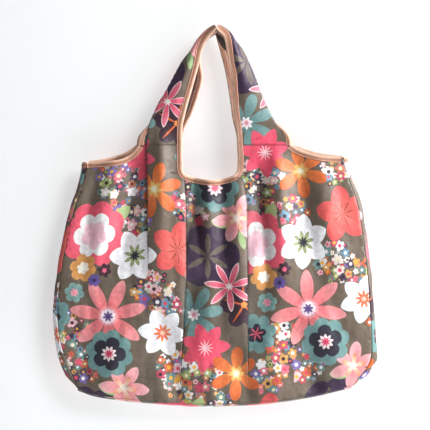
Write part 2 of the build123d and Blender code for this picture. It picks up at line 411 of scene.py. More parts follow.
FLOWERS = (
    Flower("dark lily", 50, 466, 41, (
        Petals(1.0, 6, 0.3, 1.7, "#3a1f2b", "#3f2938"),
        Petals(0.9, 5, 3.2, 1.0, "#e0703f", "#d3623c", 0.3),
        Petals(0.14, 5, 0.3, 2.0, "#f0a050", "#e88a48"),
    )),
    Flower("plum flower", -11, 384, 54, (
        Petals(1.0, 6, 0.15, 3.0, "#45304a", "#3f2c46"),
        Petals(0.72, 6, 1.35, 1.3, "#74685f", "#6d6157", 0.5),
        Petals(0.05, 6, 0.2, 2.0, "#5c4a54", "#5c4a54"),
    )),
    Flower("teal star", -35, 483, 50, (
        Petals(1.0, 7, 0.95, 2.3, "#648a8a", "#7fa19f", 0.2),
        Petals(0.22, 7, 0.4, 1.4, "#f7dfe6", WHITE),
        Petals(0.11, 6, 0.5, 1.4, "#d8708a", "#efc4cf"),
    )),
    Flower("lily leaf", 30, 331, 36, (
        Petals(1.0, 1, 5.2, 1.3, "#9db878", "#b9cc92", 0.47),
    )),
    Flower("lower lily leaf", 42, 340, 34, (
        Petals(1.0, 1, 7.5, 1.2, "#8aa870", "#a9bd8b", 0.79),
    )),
    Flower("pink lily", 38, 320, 42, (
        Petals(1.0, 6, 0.58, 1.5, "#ea7f82", "#f8bcc0", 0.15),
        Petals(0.5, 5, 1.0, 1.4, "#f6ecd9", "#ea8a5a"),
        Petals(0.16, 6, 0.4, 1.6, "#fbeee2", "#f5d9c8"),
    )),
    Flower("pink star lily", 25, 435, 43, (
        Petals(1.0, 7, 1.0, 1.35, "#f3a3b0", "#fbdfe3", 0.35),
        Petals(0.95, 7, 1.3, 1.3, "#dc3f60", "#ee8598", 0.35),
        Petals(0.17, 7, 0.55, 1.3, "#fff6f2", "#fbd8d8"),
    )),
    Flower("hot pink flower", -15, 539, 43, (
        Petals(1.0, 7, 0.4, 1.15, "#ec4863", "#f25e77", 0.1),
        Petals(0.34, 11, 1.1, 1.0, "#fbe3e6", "#f8b4c0"),
    )),
    Flower("small teal flower", 92, 520, 34, (
        Petals(1.0, 8, 0.22, 2.2, "#5f8686", "#749896"),
        Petals(0.5, 5, 0.4, 1.8, "#37222e", NAVY),
        Petals(0.36, 6, 1.6, 1.1, "#f25c78", "#ee6c80"),
    )),
    Flower("orange flower", 37, 583, 46, (
        Petals(1.0, 6, 0.8, 2.0, "#f08a4e", "#d2632f", 0.45),
        Petals(0.32, 6, 0.5, 1.3, "#f9d489", "#f3b45e"),
        Petals(0.14, 6, 0.4, 1.5, "#fff7e0", "#fbeec0"),
    )),
    Flower("cloud leaf", -240, 362, 34, (
        Petals(1.0, 1, 4.4, 1.3, "#9fba7e", "#bccb90", 0.16),
    )),
    Flower("rose cloud", -265, 389, 53, (
        Petals(1.0, 8, 0.16, 2.2, "#ef5c72", "#ee5f74"),
        Petals(0.66, 6, 0.24, 2.4, "#fdf4f6", WHITE, 0.3),
        Petals(0.42, 5, 0.28, 2.0, "#f7bccb", "#fad0da"),
    )),
    Flower("amber flower", -265, 442, 23, (
        Petals(1.0, 6, 0.26, 2.4, "#d98f48", "#dd9f5e"),
        Petals(0.46, 6, 0.3, 2.0, "#fffaf0", "#fbeedd"),
    )),
    Flower("aster", -204, 511, 66, (
        Petals(1.0, 7, 0.78, 1.5, "#e8626a", "#f3a0a2", 0.55),
        Petals(0.27, 12, 0.12, 2.0, "#f4b4ba", "#ee9298"),
        Petals(0.2, 12, 0.16, 2.0, "#fdf0f4", "#f3d9e4"),
        Petals(0.14, 7, 0.5, 1.3, "#4e3c78", "#7d6a9e"),
    )),
    Flower("white windflower", -187, 403, 43, (
        Petals(1.0, 6, 0.34, 1.25, "#efe9f0", "#fbfafc", 0.25),
        Petals(0.44, 8, 0.6, 1.2, "#a9b486", "#8c9a68"),
        Petals(0.2, 8, 0.5, 1.3, "#2c2630", "#3a3a44"),
    )),
    Flower("coral flower", -112, 376, 45, (
        Petals(1.0, 5, 0.4, 1.5, "#ee7468", "#e2585a", 0.2),
        Petals(0.5, 9, 3.0, 1.0, "#5a2a30", "#a04844", 0.1),
    )),
    Flower("white orange flower", -108, 517, 42, (
        Petals(1.0, 6, 0.36, 1.25, "#efeaf2", "#fcfbfd", 0.1),
        Petals(0.38, 9, 0.6, 1.1, "#e8584e", "#e98a4e"),
        Petals(0.13, 8, 0.4, 1.5, "#f8d8c0", "#f0a088"),
    )),
    Flower("teal navy flower", -188, 572, 41, (
        Petals(1.0, 8, 0.17, 2.2, "#688f8f", "#779c9a"),
        Petals(0.7, 5, 0.3, 2.6, "#2b2634", "#33303e", 0.15),
        Petals(0.33, 9, 0.4, 1.3, "#fdf3f4", "#f9dde2"),
        Petals(0.2, 8, 0.5, 1.2, "#d9365c", "#e8607c"),
    )),
    Flower("maroon flower", -228, 437, 12, (
        Petals(1.0, 6, 0.34, 2.0, "#3c2230", "#452735"),
        Petals(0.36, 5, 0.3, 2.0, "#e2708c", "#d65a7c"),
    )),
    Flower("violet flower", -241, 457, 11, (
        Petals(1.0, 6, 0.34, 2.0, "#5b4792", "#6f5ba6"),
        Petals(0.3, 5, 0.3, 2.0, "#2c2244", "#33264c"),
    )),
    Flower("small sage flower", -269, 485, 17, (
        Petals(1.0, 6, 0.24, 2.4, "#6f9692", "#86aaa6"),
        Petals(0.42, 6, 0.36, 1.6, "#f08aa0", "#f6b0be"),
    )),
)

POSIES = (
    Posy(-236, 284, 30), Posy(-232, 342, 20), Posy(-192, 350, 26), Posy(-140, 448, 34), Posy(-112, 470, 26),
    Posy(-263, 545, 30), Posy(-225, 597, 30), Posy(-81, 566, 28), Posy(-38, 298, 30), Posy(-110, 306, 26),
    Posy(-284, 597, 24), Posy(-62, 600, 22), Posy(-13, 588, 24),
)

SMALL_DYES = ("#efe9ea", "#eeb8c0", "#dd7484", "#d0683f", "#d9a05a", "#a3b06c", "#7c69ab", "#6f97b2",
              "#36283f", "#e9dcd6", "#c44a62", "#6c8f8b", "#4a3a52", "#c9785c")
SMALL_HEARTS = ("#3a2a34", "#f1b33e", "#f4f0f0", "#d84c66", "#f6e6c0")


class FlowerPrint:
    """The cloth's print: large flowers over posies of small ones on a taupe ground.

    The pattern repeats on a slanted lattice. Each flower finds its own nearest copy, so that
    none is cut where the repeat ends.
    """

    ACROSS = (391.0, -12.0)  # one repeat across the cloth, in millimetres
    DOWN = (202.0, 291.0)  # one repeat down the cloth, half dropped
    SMALL_FLOWER_CELLS = (11.0, 17.5)  # spacing of the two sizes of small flower

    def __init__(self) -> None:
        """Builds the print's node group from its parts."""
        self.place = self._place_group()
        self.petals = self._petals_group()
        self.small = self._small_group()
        self.tree = self._print_group()

    def to_lattice(self, u: float, v: float) -> tuple[float, float, float]:
        """The lattice coordinates of a place on the cloth."""
        (ax, ay), (dx, dy) = self.ACROSS, self.DOWN
        det = ax * dy - dx * ay
        return ((u * dy - v * dx) / det, (v * ax - u * ay) / det, 0.0)

    def _place_group(self) -> bpy.types.NodeTree:
        """The group that measures distance and angle from a flower's nearest copy."""
        tree, i, o = group(
            "nearest copy",
            {"Lattice": "Vector", "Centre": "Vector", "Radius": "Float"},
            {"Distance": "Float", "Angle": "Float"},
        )
        away = add(tree, "VectorMath", {"operation": "SUBTRACT"}, i0=i.outputs[0], i1=i.outputs[1])
        near = add(
            tree, "VectorMath", {"operation": "WRAP"}, i0=away.outputs[0], i1=(0.5,) * 3, i2=(-0.5,) * 3
        )
        rows = [(self.ACROSS[k], self.DOWN[k], 0.0) for k in range(2)]
        u, v = (
            add(tree, "VectorMath", {"operation": "DOT_PRODUCT"}, i0=near.outputs[0], i1=row).outputs["Value"]
            for row in rows
        )
        flat = add(tree, "CombineXYZ", X=u, Y=v)
        far = add(tree, "VectorMath", {"operation": "LENGTH"}, i0=flat.outputs[0])
        share = add(tree, "Math", {"operation": "DIVIDE"}, i0=far.outputs["Value"], i1=i.outputs[2])
        angle = add(tree, "Math", {"operation": "ARCTAN2"}, i0=v, i1=u)
        tree.links.new(share.outputs[0], o.inputs[0])
        tree.links.new(angle.outputs[0], o.inputs[1])
        return tree

    def _petals_group(self) -> bpy.types.NodeTree:
        """The group that lays one shape of petals over the colours below it."""
        tree, i, o = group(
            "petals",
            {
                "Under": "Color", "Distance": "Float", "Angle": "Float", "Count": "Float", "Turn": "Float",
                "Size": "Float", "Notch": "Float", "Fullness": "Float", "Edge": "Float",
                "Heart": "Color", "Tip": "Color",
            },
            {"Color": "Color", "Mask": "Float"},
        )
        s = i.outputs
        lobes = add(tree, "Math", {"operation": "MULTIPLY_ADD"}, i0=s["Angle"], i1=s["Count"], i2=s["Turn"])
        fold = add(tree, "Math", {"operation": "PINGPONG"}, i0=lobes.outputs[0], i1=0.5)
        gap = add(tree, "Math", {"operation": "MULTIPLY"}, i0=fold.outputs[0], i1=2.0)
        bent = add(tree, "Math", {"operation": "POWER"}, i0=gap.outputs[0], i1=s["Fullness"])
        rim = add(
            tree, "Math", {"operation": "MULTIPLY_ADD"}, i0=bent.outputs[0], i1=s["Notch"], i2=s["Size"]
        )
        inside = add(tree, "Math", {"operation": "SUBTRACT"}, i0=rim.outputs[0], i1=s["Distance"])
        mask = add(tree, "Math", {"operation": "MULTIPLY_ADD"}, i0=inside.outputs[0], i1=s["Edge"], i2=0.5)
        along = add(tree, "Math", {"operation": "DIVIDE"}, i0=s["Distance"], i1=s["Size"])
        fade = add(tree, "Mix", {"data_type": "RGBA"}, i0=along.outputs[0], i6=s["Heart"], i7=s["Tip"])
        laid = add(tree, "Mix", {"data_type": "RGBA"}, i0=mask.outputs[0], i6=s["Under"], i7=fade.outputs[2])
        tree.links.new(laid.outputs[2], o.inputs[0])
        tree.links.new(mask.outputs[0], o.inputs[1])
        return tree

    def _small_group(self) -> bpy.types.NodeTree:
        """The group that scatters small flowers of many dyes inside the posies."""
        tree, i, o = group(
            "small flowers", {"Under": "Color", "Cloth": "Vector", "Cell": "Float"}, {"Color": "Color"}
        )
        shrink = add(tree, "Math", {"operation": "DIVIDE"}, i0=1.0, i1=i.outputs["Cell"])
        scaled = add(
            tree, "VectorMath", {"operation": "SCALE"}, i0=i.outputs["Cloth"], Scale=shrink.outputs[0]
        )
        cells = add(
            tree, "TexVoronoi", {"voronoi_dimensions": "2D", "feature": "F1"},
            Vector=scaled.outputs[0], Scale=1.0, Randomness=0.75,
        )
        away = add(
            tree, "VectorMath", {"operation": "SUBTRACT"}, i0=scaled.outputs[0], i1=cells.outputs["Position"]
        )
        parts = add(tree, "SeparateXYZ", i0=away.outputs[0])
        angle = add(tree, "Math", {"operation": "ARCTAN2"}, i0=parts.outputs[1], i1=parts.outputs[0])
        dice = add(tree, "SeparateColor", i0=cells.outputs["Color"])
        size = add(tree, "MapRange", {"clamp": False}, Value=dice.outputs[1], To_Min=0.38, To_Max=0.58)
        share = add(tree, "Math", {"operation": "DIVIDE"}, i0=cells.outputs["Distance"], i1=size.outputs[0])
        middle = add(
            tree, "VectorMath", {"operation": "SCALE"}, i0=cells.outputs["Position"], Scale=i.outputs["Cell"]
        )
        dyes = self._steps(tree, dice.outputs[0], SMALL_DYES)
        hearts = self._steps(tree, dice.outputs[2], SMALL_HEARTS)
        colour = i.outputs["Under"]
        for radius, notch, dye in ((1.0, 0.42, dyes), (0.34, 0.01, hearts)):
            shape = add(
                tree, "Group", {"node_tree": self.petals}, Under=colour, Distance=share.outputs[0],
                Angle=angle.outputs[0], Count=5 / math.tau, Turn=0.3 * radius, Size=radius, Notch=-notch,
                Fullness=1.8, Edge=12.0, Heart=dye, Tip=dye,
            )
            colour = shape.outputs[0]
        inside = self._posy_mask(tree, self._lattice(tree, middle.outputs[0]))
        laid = add(tree, "Mix", {"data_type": "RGBA"}, i0=inside, i6=i.outputs["Under"], i7=colour)
        tree.links.new(laid.outputs[2], o.inputs[0])
        return tree

    def _steps(
        self, tree: bpy.types.NodeTree, value: bpy.types.NodeSocket, dyes: Sequence[str]
    ) -> bpy.types.NodeSocket:
        """A colour picked from a list by a random value."""
        ramp = add(tree, "ValToRGB", i0=value)
        ramp.color_ramp.interpolation = "CONSTANT"
        stops = ramp.color_ramp.elements
        for k, dye in enumerate(dyes):
            stop = stops[k] if k < 2 else stops.new(k / len(dyes))
            stop.position = k / len(dyes)
            stop.color = linear(dye)
        return ramp.outputs[0]

    def _lattice(self, tree: bpy.types.NodeTree, cloth: bpy.types.NodeSocket) -> bpy.types.NodeSocket:
        """The nodes that turn millimetres of cloth into lattice coordinates."""
        (a, b, _), (c, d, _) = self.to_lattice(1, 0), self.to_lattice(0, 1)
        across, down = (
            add(tree, "VectorMath", {"operation": "DOT_PRODUCT"}, i0=cloth, i1=row).outputs["Value"]
            for row in ((a, c, 0.0), (b, d, 0.0))
        )
        return add(tree, "CombineXYZ", X=across, Y=down).outputs[0]

    def _posy_mask(self, tree: bpy.types.NodeTree, lattice: bpy.types.NodeSocket) -> bpy.types.NodeSocket:
        """1 inside any posy and 0 outside."""
        nearest: bpy.types.NodeSocket | float = 9.0
        for posy in POSIES:
            where = add(
                tree, "Group", {"node_tree": self.place}, Lattice=lattice,
                Centre=self.to_lattice(posy.u, posy.v), Radius=posy.radius,
            )
            nearest = add(
                tree, "Math", {"operation": "MINIMUM"}, i0=nearest, i1=where.outputs[0]
            ).outputs[0]
        return add(tree, "Math", {"operation": "LESS_THAN"}, i0=nearest, i1=1.0).outputs[0]

    def _print_group(self) -> bpy.types.NodeTree:
        """The whole print, from cloth coordinates to colour."""
        tree, i, o = group("flower print", {"Cloth": "Vector"}, {"Color": "Color"})
        cloth = i.outputs[0]
        lattice = self._lattice(tree, cloth)
        colour: bpy.types.NodeSocket | tuple = linear("#6e6053")
        cover: bpy.types.NodeSocket | float = 0.0
        for flower in FLOWERS:
            where = add(
                tree, "Group", {"node_tree": self.place}, Lattice=lattice,
                Centre=self.to_lattice(flower.u, flower.v), Radius=flower.radius,
            )
            for k, shape in enumerate(flower.petals):
                laid = add(
                    tree, "Group", {"node_tree": self.petals}, Under=colour, Distance=where.outputs[0],
                    Angle=where.outputs[1], Count=shape.count / math.tau, Turn=shape.turn, Size=shape.size,
                    Notch=-shape.notch * shape.size, Fullness=shape.fullness, Edge=flower.radius * 1.4,
                    Heart=linear(shape.heart), Tip=linear(shape.tip),
                )
                colour = laid.outputs["Color"]
                if k == 0:
                    most = add(tree, "Math", {"operation": "MAXIMUM"}, i0=cover, i1=laid.outputs["Mask"])
                    cover = most.outputs[0]
        wash = add(tree, "TexNoise", {"noise_dimensions": "2D"}, Vector=cloth, Scale=0.02, Detail=2.0)
        base = add(
            tree, "Mix", {"data_type": "RGBA"}, i0=wash.outputs[0], i6=linear("#65574a"), i7=linear("#77695b")
        ).outputs[2]
        for cell in self.SMALL_FLOWER_CELLS:
            layer = add(tree, "Group", {"node_tree": self.small}, Under=base, Cloth=cloth, Cell=cell)
            base = layer.outputs[0]
        colour = add(tree, "Mix", {"data_type": "RGBA"}, i0=cover, i6=base, i7=colour).outputs[2]
        mottle = add(tree, "TexNoise", {"noise_dimensions": "2D"}, Vector=cloth, Scale=0.16, Detail=3.0)
        tone = add(
            tree, "MapRange", {}, Value=mottle.outputs[0],
            From_Min=0.25, From_Max=0.75, To_Min=0.86, To_Max=1.1,
        )
        shaded = add(tree, "VectorMath", {"operation": "SCALE"}, i0=colour, Scale=tone.outputs[0])
        tree.links.new(shaded.outputs[0], o.inputs[0])
        return tree


@dataclass(frozen=True)
class PrintedTaffeta:
    """Printed polyester taffeta, calendered: thin, tightly woven and a little shiny.

    Attributes:
        name: The material's name.
        print_tree: The print's node group.
        fade: How far the print is mixed towards pale grey, 0 outside and more on the reverse.
    """

    name: str
    print_tree: bpy.types.NodeTree
    fade: float = 0.0
    painted_fold_shade_reaches: tuple[float, ...] = (0.025, 0.05, 0.05)  # how far the painted shade reaches into a fold, in metres
    thread: float = 0.5  # real thread spacing is about 0.2 mm; drawn coarser so that it shows

    def make(self) -> bpy.types.Material:
        """The material."""
        material, tree, out = blank_material(self.name)
        uv = add(tree, "UVMap", {"uv_map": CLOTH_UV})
        cloth = add(tree, "VectorMath", {"operation": "SCALE"}, i0=uv.outputs[0], Scale=1.0 / MM)
        dye = add(tree, "Group", {"node_tree": self.print_tree}, Cloth=cloth.outputs[0]).outputs[0]
        if self.fade:
            dye = add(
                tree, "Mix", {"data_type": "RGBA"}, i0=self.fade, i6=dye, i7=linear("#b7ada4")
            ).outputs[2]
        height = self._weave(tree, cloth.outputs[0])
        bump = add(tree, "Bump", Strength=0.35, Distance=0.0002, Height=height)
        crumple = add(
            tree, "TexNoise", {"noise_dimensions": "2D"}, Vector=cloth.outputs[0], Scale=0.045, Detail=4.0
        )
        soft = add(
            tree, "Bump", Strength=0.45, Distance=0.004, Height=crumple.outputs[0], Normal=bump.outputs[0]
        )
        # Painted shade: ambient occlusion darkens the colour in the folds, where less of the room reaches the
        # cloth, and dye holds this painted shade from here on.
        for reach in self.painted_fold_shade_reaches:
            dye = add(tree, "AmbientOcclusion", {"samples": 6}, Color=dye, Distance=reach).outputs["Color"]
        rough = add(tree, "MapRange", {}, Value=crumple.outputs[0], To_Min=0.36, To_Max=0.52)
        add_surface(
            tree, out, Base_Color=dye, Roughness=rough.outputs[0], Normal=soft.outputs[0],
            Sheen_Weight=0.12, Sheen_Roughness=0.4, Specular_IOR_Level=0.42,
        )
        return material

    def _weave(self, tree: bpy.types.NodeTree, cloth: bpy.types.NodeSocket) -> bpy.types.NodeSocket:
        """Warp and weft threads as a height."""
        heights = []
        for way in ("X", "Y"):
            heights.append(
                add(
                    tree, "TexWave", {"wave_type": "BANDS", "bands_direction": way},
                    Vector=cloth, Scale=math.tau / self.thread / 20.0, Distortion=0.4,
                ).outputs["Fac"]
            )
        return add(tree, "Math", {"operation": "MULTIPLY"}, i0=heights[0], i1=heights[1]).outputs[0]


@dataclass(frozen=True)
class BiasTape:
    """Apricot polyester satin cut on the bias and folded over the edge: a soft shine along the fold, painted
    into its colour as a brighter band.
    """

    name: str = "bias_tape"
    pitch: float = 3.2  # one stitch and its gap
    stitch_row: float = 0.78  # where the lockstitch runs, from the fold to the tape's inner edge

    def make(self) -> bpy.types.Material:
        """The material. Its coordinates are the run along the tape and the way across it."""
        material, tree, out = blank_material(self.name)
        uv = add(tree, "UVMap", {"uv_map": CLOTH_UV})
        parts = add(tree, "SeparateXYZ", i0=uv.outputs[0])
        run = add(tree, "Math", {"operation": "MULTIPLY"}, i0=parts.outputs[0], i1=1.0 / MM / self.pitch)
        # The ramp across the tape holds painted light: a highlight at the fold and shade by the stitch row.
        across = add(tree, "ValToRGB", i0=parts.outputs[1])
        self._stops_with_painted_light(across)
        drawn = add(tree, "VectorMath", {"operation": "MULTIPLY"}, i0=uv.outputs[0], i1=(110.0, 5.0, 1.0))
        streak = add(
            tree, "TexNoise", {"noise_dimensions": "2D"}, Vector=drawn.outputs[0], Scale=1.0, Detail=3.0
        )
        tone = add(
            tree, "MapRange", {}, Value=streak.outputs[0], From_Min=0.3, From_Max=0.7, To_Min=0.82, To_Max=1.1
        )
        tape = add(tree, "VectorMath", {"operation": "SCALE"}, i0=across.outputs[0], Scale=tone.outputs[0])
        dash = add(tree, "Math", {"operation": "PINGPONG"}, i0=run.outputs[0], i1=0.5)
        on_dash = add(tree, "Math", {"operation": "GREATER_THAN"}, i0=dash.outputs[0], i1=0.12)
        off_row = add(tree, "Math", {"operation": "SUBTRACT"}, i0=parts.outputs[1], i1=self.stitch_row)
        near_row = add(tree, "Math", {"operation": "COMPARE"}, i0=off_row.outputs[0], i1=0.0, i2=0.035)
        stitch = add(tree, "Math", {"operation": "MULTIPLY"}, i0=on_dash.outputs[0], i1=near_row.outputs[0])
        dye_and_painted_light = add(
            tree, "Mix", {"data_type": "RGBA"}, i0=stitch.outputs[0], i6=tape.outputs[0], i7=linear("#8a4a2c")
        )
        ribs = add(tree, "TexWave", {"wave_type": "BANDS", "bands_direction": "DIAGONAL"},
                   Vector=add(tree, "VectorMath", {"operation": "MULTIPLY"}, i0=uv.outputs[0],
                              i1=(1000.0, 8.0, 1.0)).outputs[0], Scale=0.55, Distortion=0.6)
        relief = add(
            tree, "Math", {"operation": "MULTIPLY_ADD"}, i0=stitch.outputs[0], i1=-1.5, i2=ribs.outputs["Fac"]
        )
        bump = add(tree, "Bump", Strength=0.5, Distance=0.0003, Height=relief.outputs[0])
        add_surface(
            tree, out, Base_Color=dye_and_painted_light.outputs[2], Roughness=0.42, Normal=bump.outputs[0],
            Sheen_Weight=0.25, Sheen_Roughness=0.35, Specular_IOR_Level=0.5,
        )
        return material

    @staticmethod
    def _stops_with_painted_light(ramp: bpy.types.Node) -> None:
        """Colours from the fold to the tape's inner edge: a painted highlight along the fold, tan middle,
        painted shade along the stitch row.
        """
        stops = ramp.color_ramp.elements
        colours = (
            (0.0, "#edc6ae"), (0.2, "#e0ac92"), (0.42, "#ae7e66"),
            (0.66, "#9f6f59"), (0.86, "#dca38d"), (1.0, "#cb8d77"),
        )
        for k, (place, dye) in enumerate(colours):
            stop = stops[k] if k < 2 else stops.new(place)
            stop.position = place
            stop.color = linear(dye)


@dataclass(frozen=True)
class Plain:
    """A plain material with a fine grain.

    Attributes:
        name: The material's name.
        dark: Its darker colour.
        light: Its lighter colour.
        roughness: How matt it is.
        grain: The size of its grain in millimetres.
        depth: The height of its grain in millimetres.
        sheen: How much fuzz catches the light.
        coat: How much clear gloss lies on it.
    """

    name: str
    dark: str
    light: str
    roughness: float
    grain: float
    depth: float
    sheen: float = 0.0
    coat: float = 0.0

    def make(self) -> bpy.types.Material:
        """The material."""
        material, tree, out = blank_material(self.name)
        where = add(tree, "TexCoord")
        scale = 1.0 / (self.grain * MM)
        grain = add(tree, "TexNoise", Vector=where.outputs["Object"], Scale=scale, Detail=4.0)
        dye = add(
            tree, "Mix", {"data_type": "RGBA"},
            i0=grain.outputs[0], i6=linear(self.dark), i7=linear(self.light)
        )
        bump = add(tree, "Bump", Strength=0.6, Distance=self.depth * MM, Height=grain.outputs[0])
        add_surface(
            tree, out, Base_Color=dye.outputs[2], Roughness=self.roughness, Normal=bump.outputs[0],
            Sheen_Weight=self.sheen, Coat_Weight=self.coat,
        )
        return material


def blank_material(name: str) -> tuple:
    """A material with nothing but its output.

    Args:
        name: The material's name.

    Returns:
        The material, its tree and its output node.
    """
    material = bpy.data.materials.new(name)
    material.use_nodes = True
    material.node_tree.nodes.clear()
    return material, material.node_tree, add(material.node_tree, "OutputMaterial")


def add_surface(tree: bpy.types.NodeTree, out: bpy.types.Node, **inputs: object) -> None:
    """Adds the shader of a surface and links it to the output."""
    shader = add(tree, "BsdfPrincipled", None, **inputs)
    tree.links.new(shader.outputs[0], out.inputs[0])


@dataclass
class Finishes:
    """Every material of the bag."""

    outside: bpy.types.Material
    reverse: bpy.types.Material
    tape: bpy.types.Material
    thread: bpy.types.Material
    label: bpy.types.Material
    stud: bpy.types.Material

    @classmethod
    def build(cls) -> "Finishes":
        """Makes the materials in order."""
        cloth_print = FlowerPrint().tree
        return cls(
            outside=PrintedTaffeta("printed_taffeta", cloth_print).make(),
            reverse=PrintedTaffeta("printed_taffeta_reverse", cloth_print, fade=0.45).make(),
            tape=BiasTape().make(),
            # spun polyester thread: matt, with a fuzzy twist
            thread=Plain("polyester_thread", "#5c3524", "#7c4a32", 0.7, 0.4, 0.05, sheen=0.3).make(),
            # woven satin label tape: white, with a soft shine
            label=Plain("satin_label_tape", "#e2dfda", "#f4f2ee", 0.4, 0.5, 0.03, sheen=0.2).make(),
            # injection moulded acetal: smooth, brown, with a slight orange peel
            stud=Plain("moulded_acetal", "#4b3022", "#5a3a29", 0.3, 1.5, 0.01, coat=0.3).make(),
        )


def dress_cloth(
    piece: bpy.types.Object, direction: Vector, finishes: Finishes, thickness: float
) -> None:
    """Turns a cloth sheet outward, gives it its two sides and its thickness.

    Args:
        piece: The sheet, one layer of faces.
        direction: Which way its printed side looks.
        finishes: The bag's materials.
        thickness: In millimetres.
    """
    face_outward(piece, direction)
    piece.data.materials.append(finishes.outside)
    piece.data.materials.append(finishes.reverse)
    thicken(piece, thickness)


# ---------------------------------------------------------------- cloth of the body


@dataclass(frozen=True)
class Pleat:
    """Cloth folded over itself along an upright line, and less so towards its foot.

    Attributes:
        line: The fold's visible edge from its head to its foot, as x and z.
        head: The level where it starts.
        take_up: How much cloth it swallows at its head.
        left_over: Whether the cloth on the left lies on top.
        lift: How far the upper layer stands off the lower one.
        sewn: Whether its head is sewn flat.
    """

    line: Points
    head: float
    take_up: float
    left_over: bool
    lift: float
    sewn: bool

    def edge(self, z: Array) -> Array:
        """The fold's x at each level."""
        line = np.array(self.line)[::-1]
        return np.interp(z, line[:, 1], line[:, 0])

    def hidden(self, z: Array) -> Array:
        """How far the fold goes under, at each level."""
        foot = self.line[-1][1]
        return 0.5 * self.take_up * np.clip((np.asarray(z, float) - foot) / (self.head - foot), 0, 1)

    def stand(self, z: Array) -> Array:
        """How far the upper layer stands off at each level."""
        start = smoothstep(z, self.line[-1][1], self.line[-1][1] + 170.0)
        if not self.sewn:
            return self.lift * start
        opened = 0.3 + 0.7 * smoothstep(z, self.head, self.head - 45.0)
        return self.lift * start * opened * smoothstep(z, self.head + 9.0, self.head - 2.0)


@dataclass(frozen=True)
class Ridge:
    """A long soft fold of the hanging cloth.

    Attributes:
        start: Where it is highest, as x and z.
        end: Where it runs out, as x and z.
        height: How far it stands out; less than 0 is a hollow.
        width: Its half width.
    """

    start: tuple[float, float]
    end: tuple[float, float]
    height: float
    width: float

    def at(self, x: Array, z: Array) -> Array:
        """The ridge's height at each place."""
        a, b = np.array(self.start), np.array(self.end)
        d = b - a
        t = ((x - a[0]) * d[0] + (z - a[1]) * d[1]) / (d @ d)
        off = ((x - a[0]) * d[1] - (z - a[1]) * d[0]) / np.linalg.norm(d)
        taper = smoothstep(t, -0.12, 0.08) * (1 - smoothstep(t, 0.35, 1.05))
        return self.height * taper * bell(off, self.width * (1 + 0.8 * np.clip(t, 0, 1)))


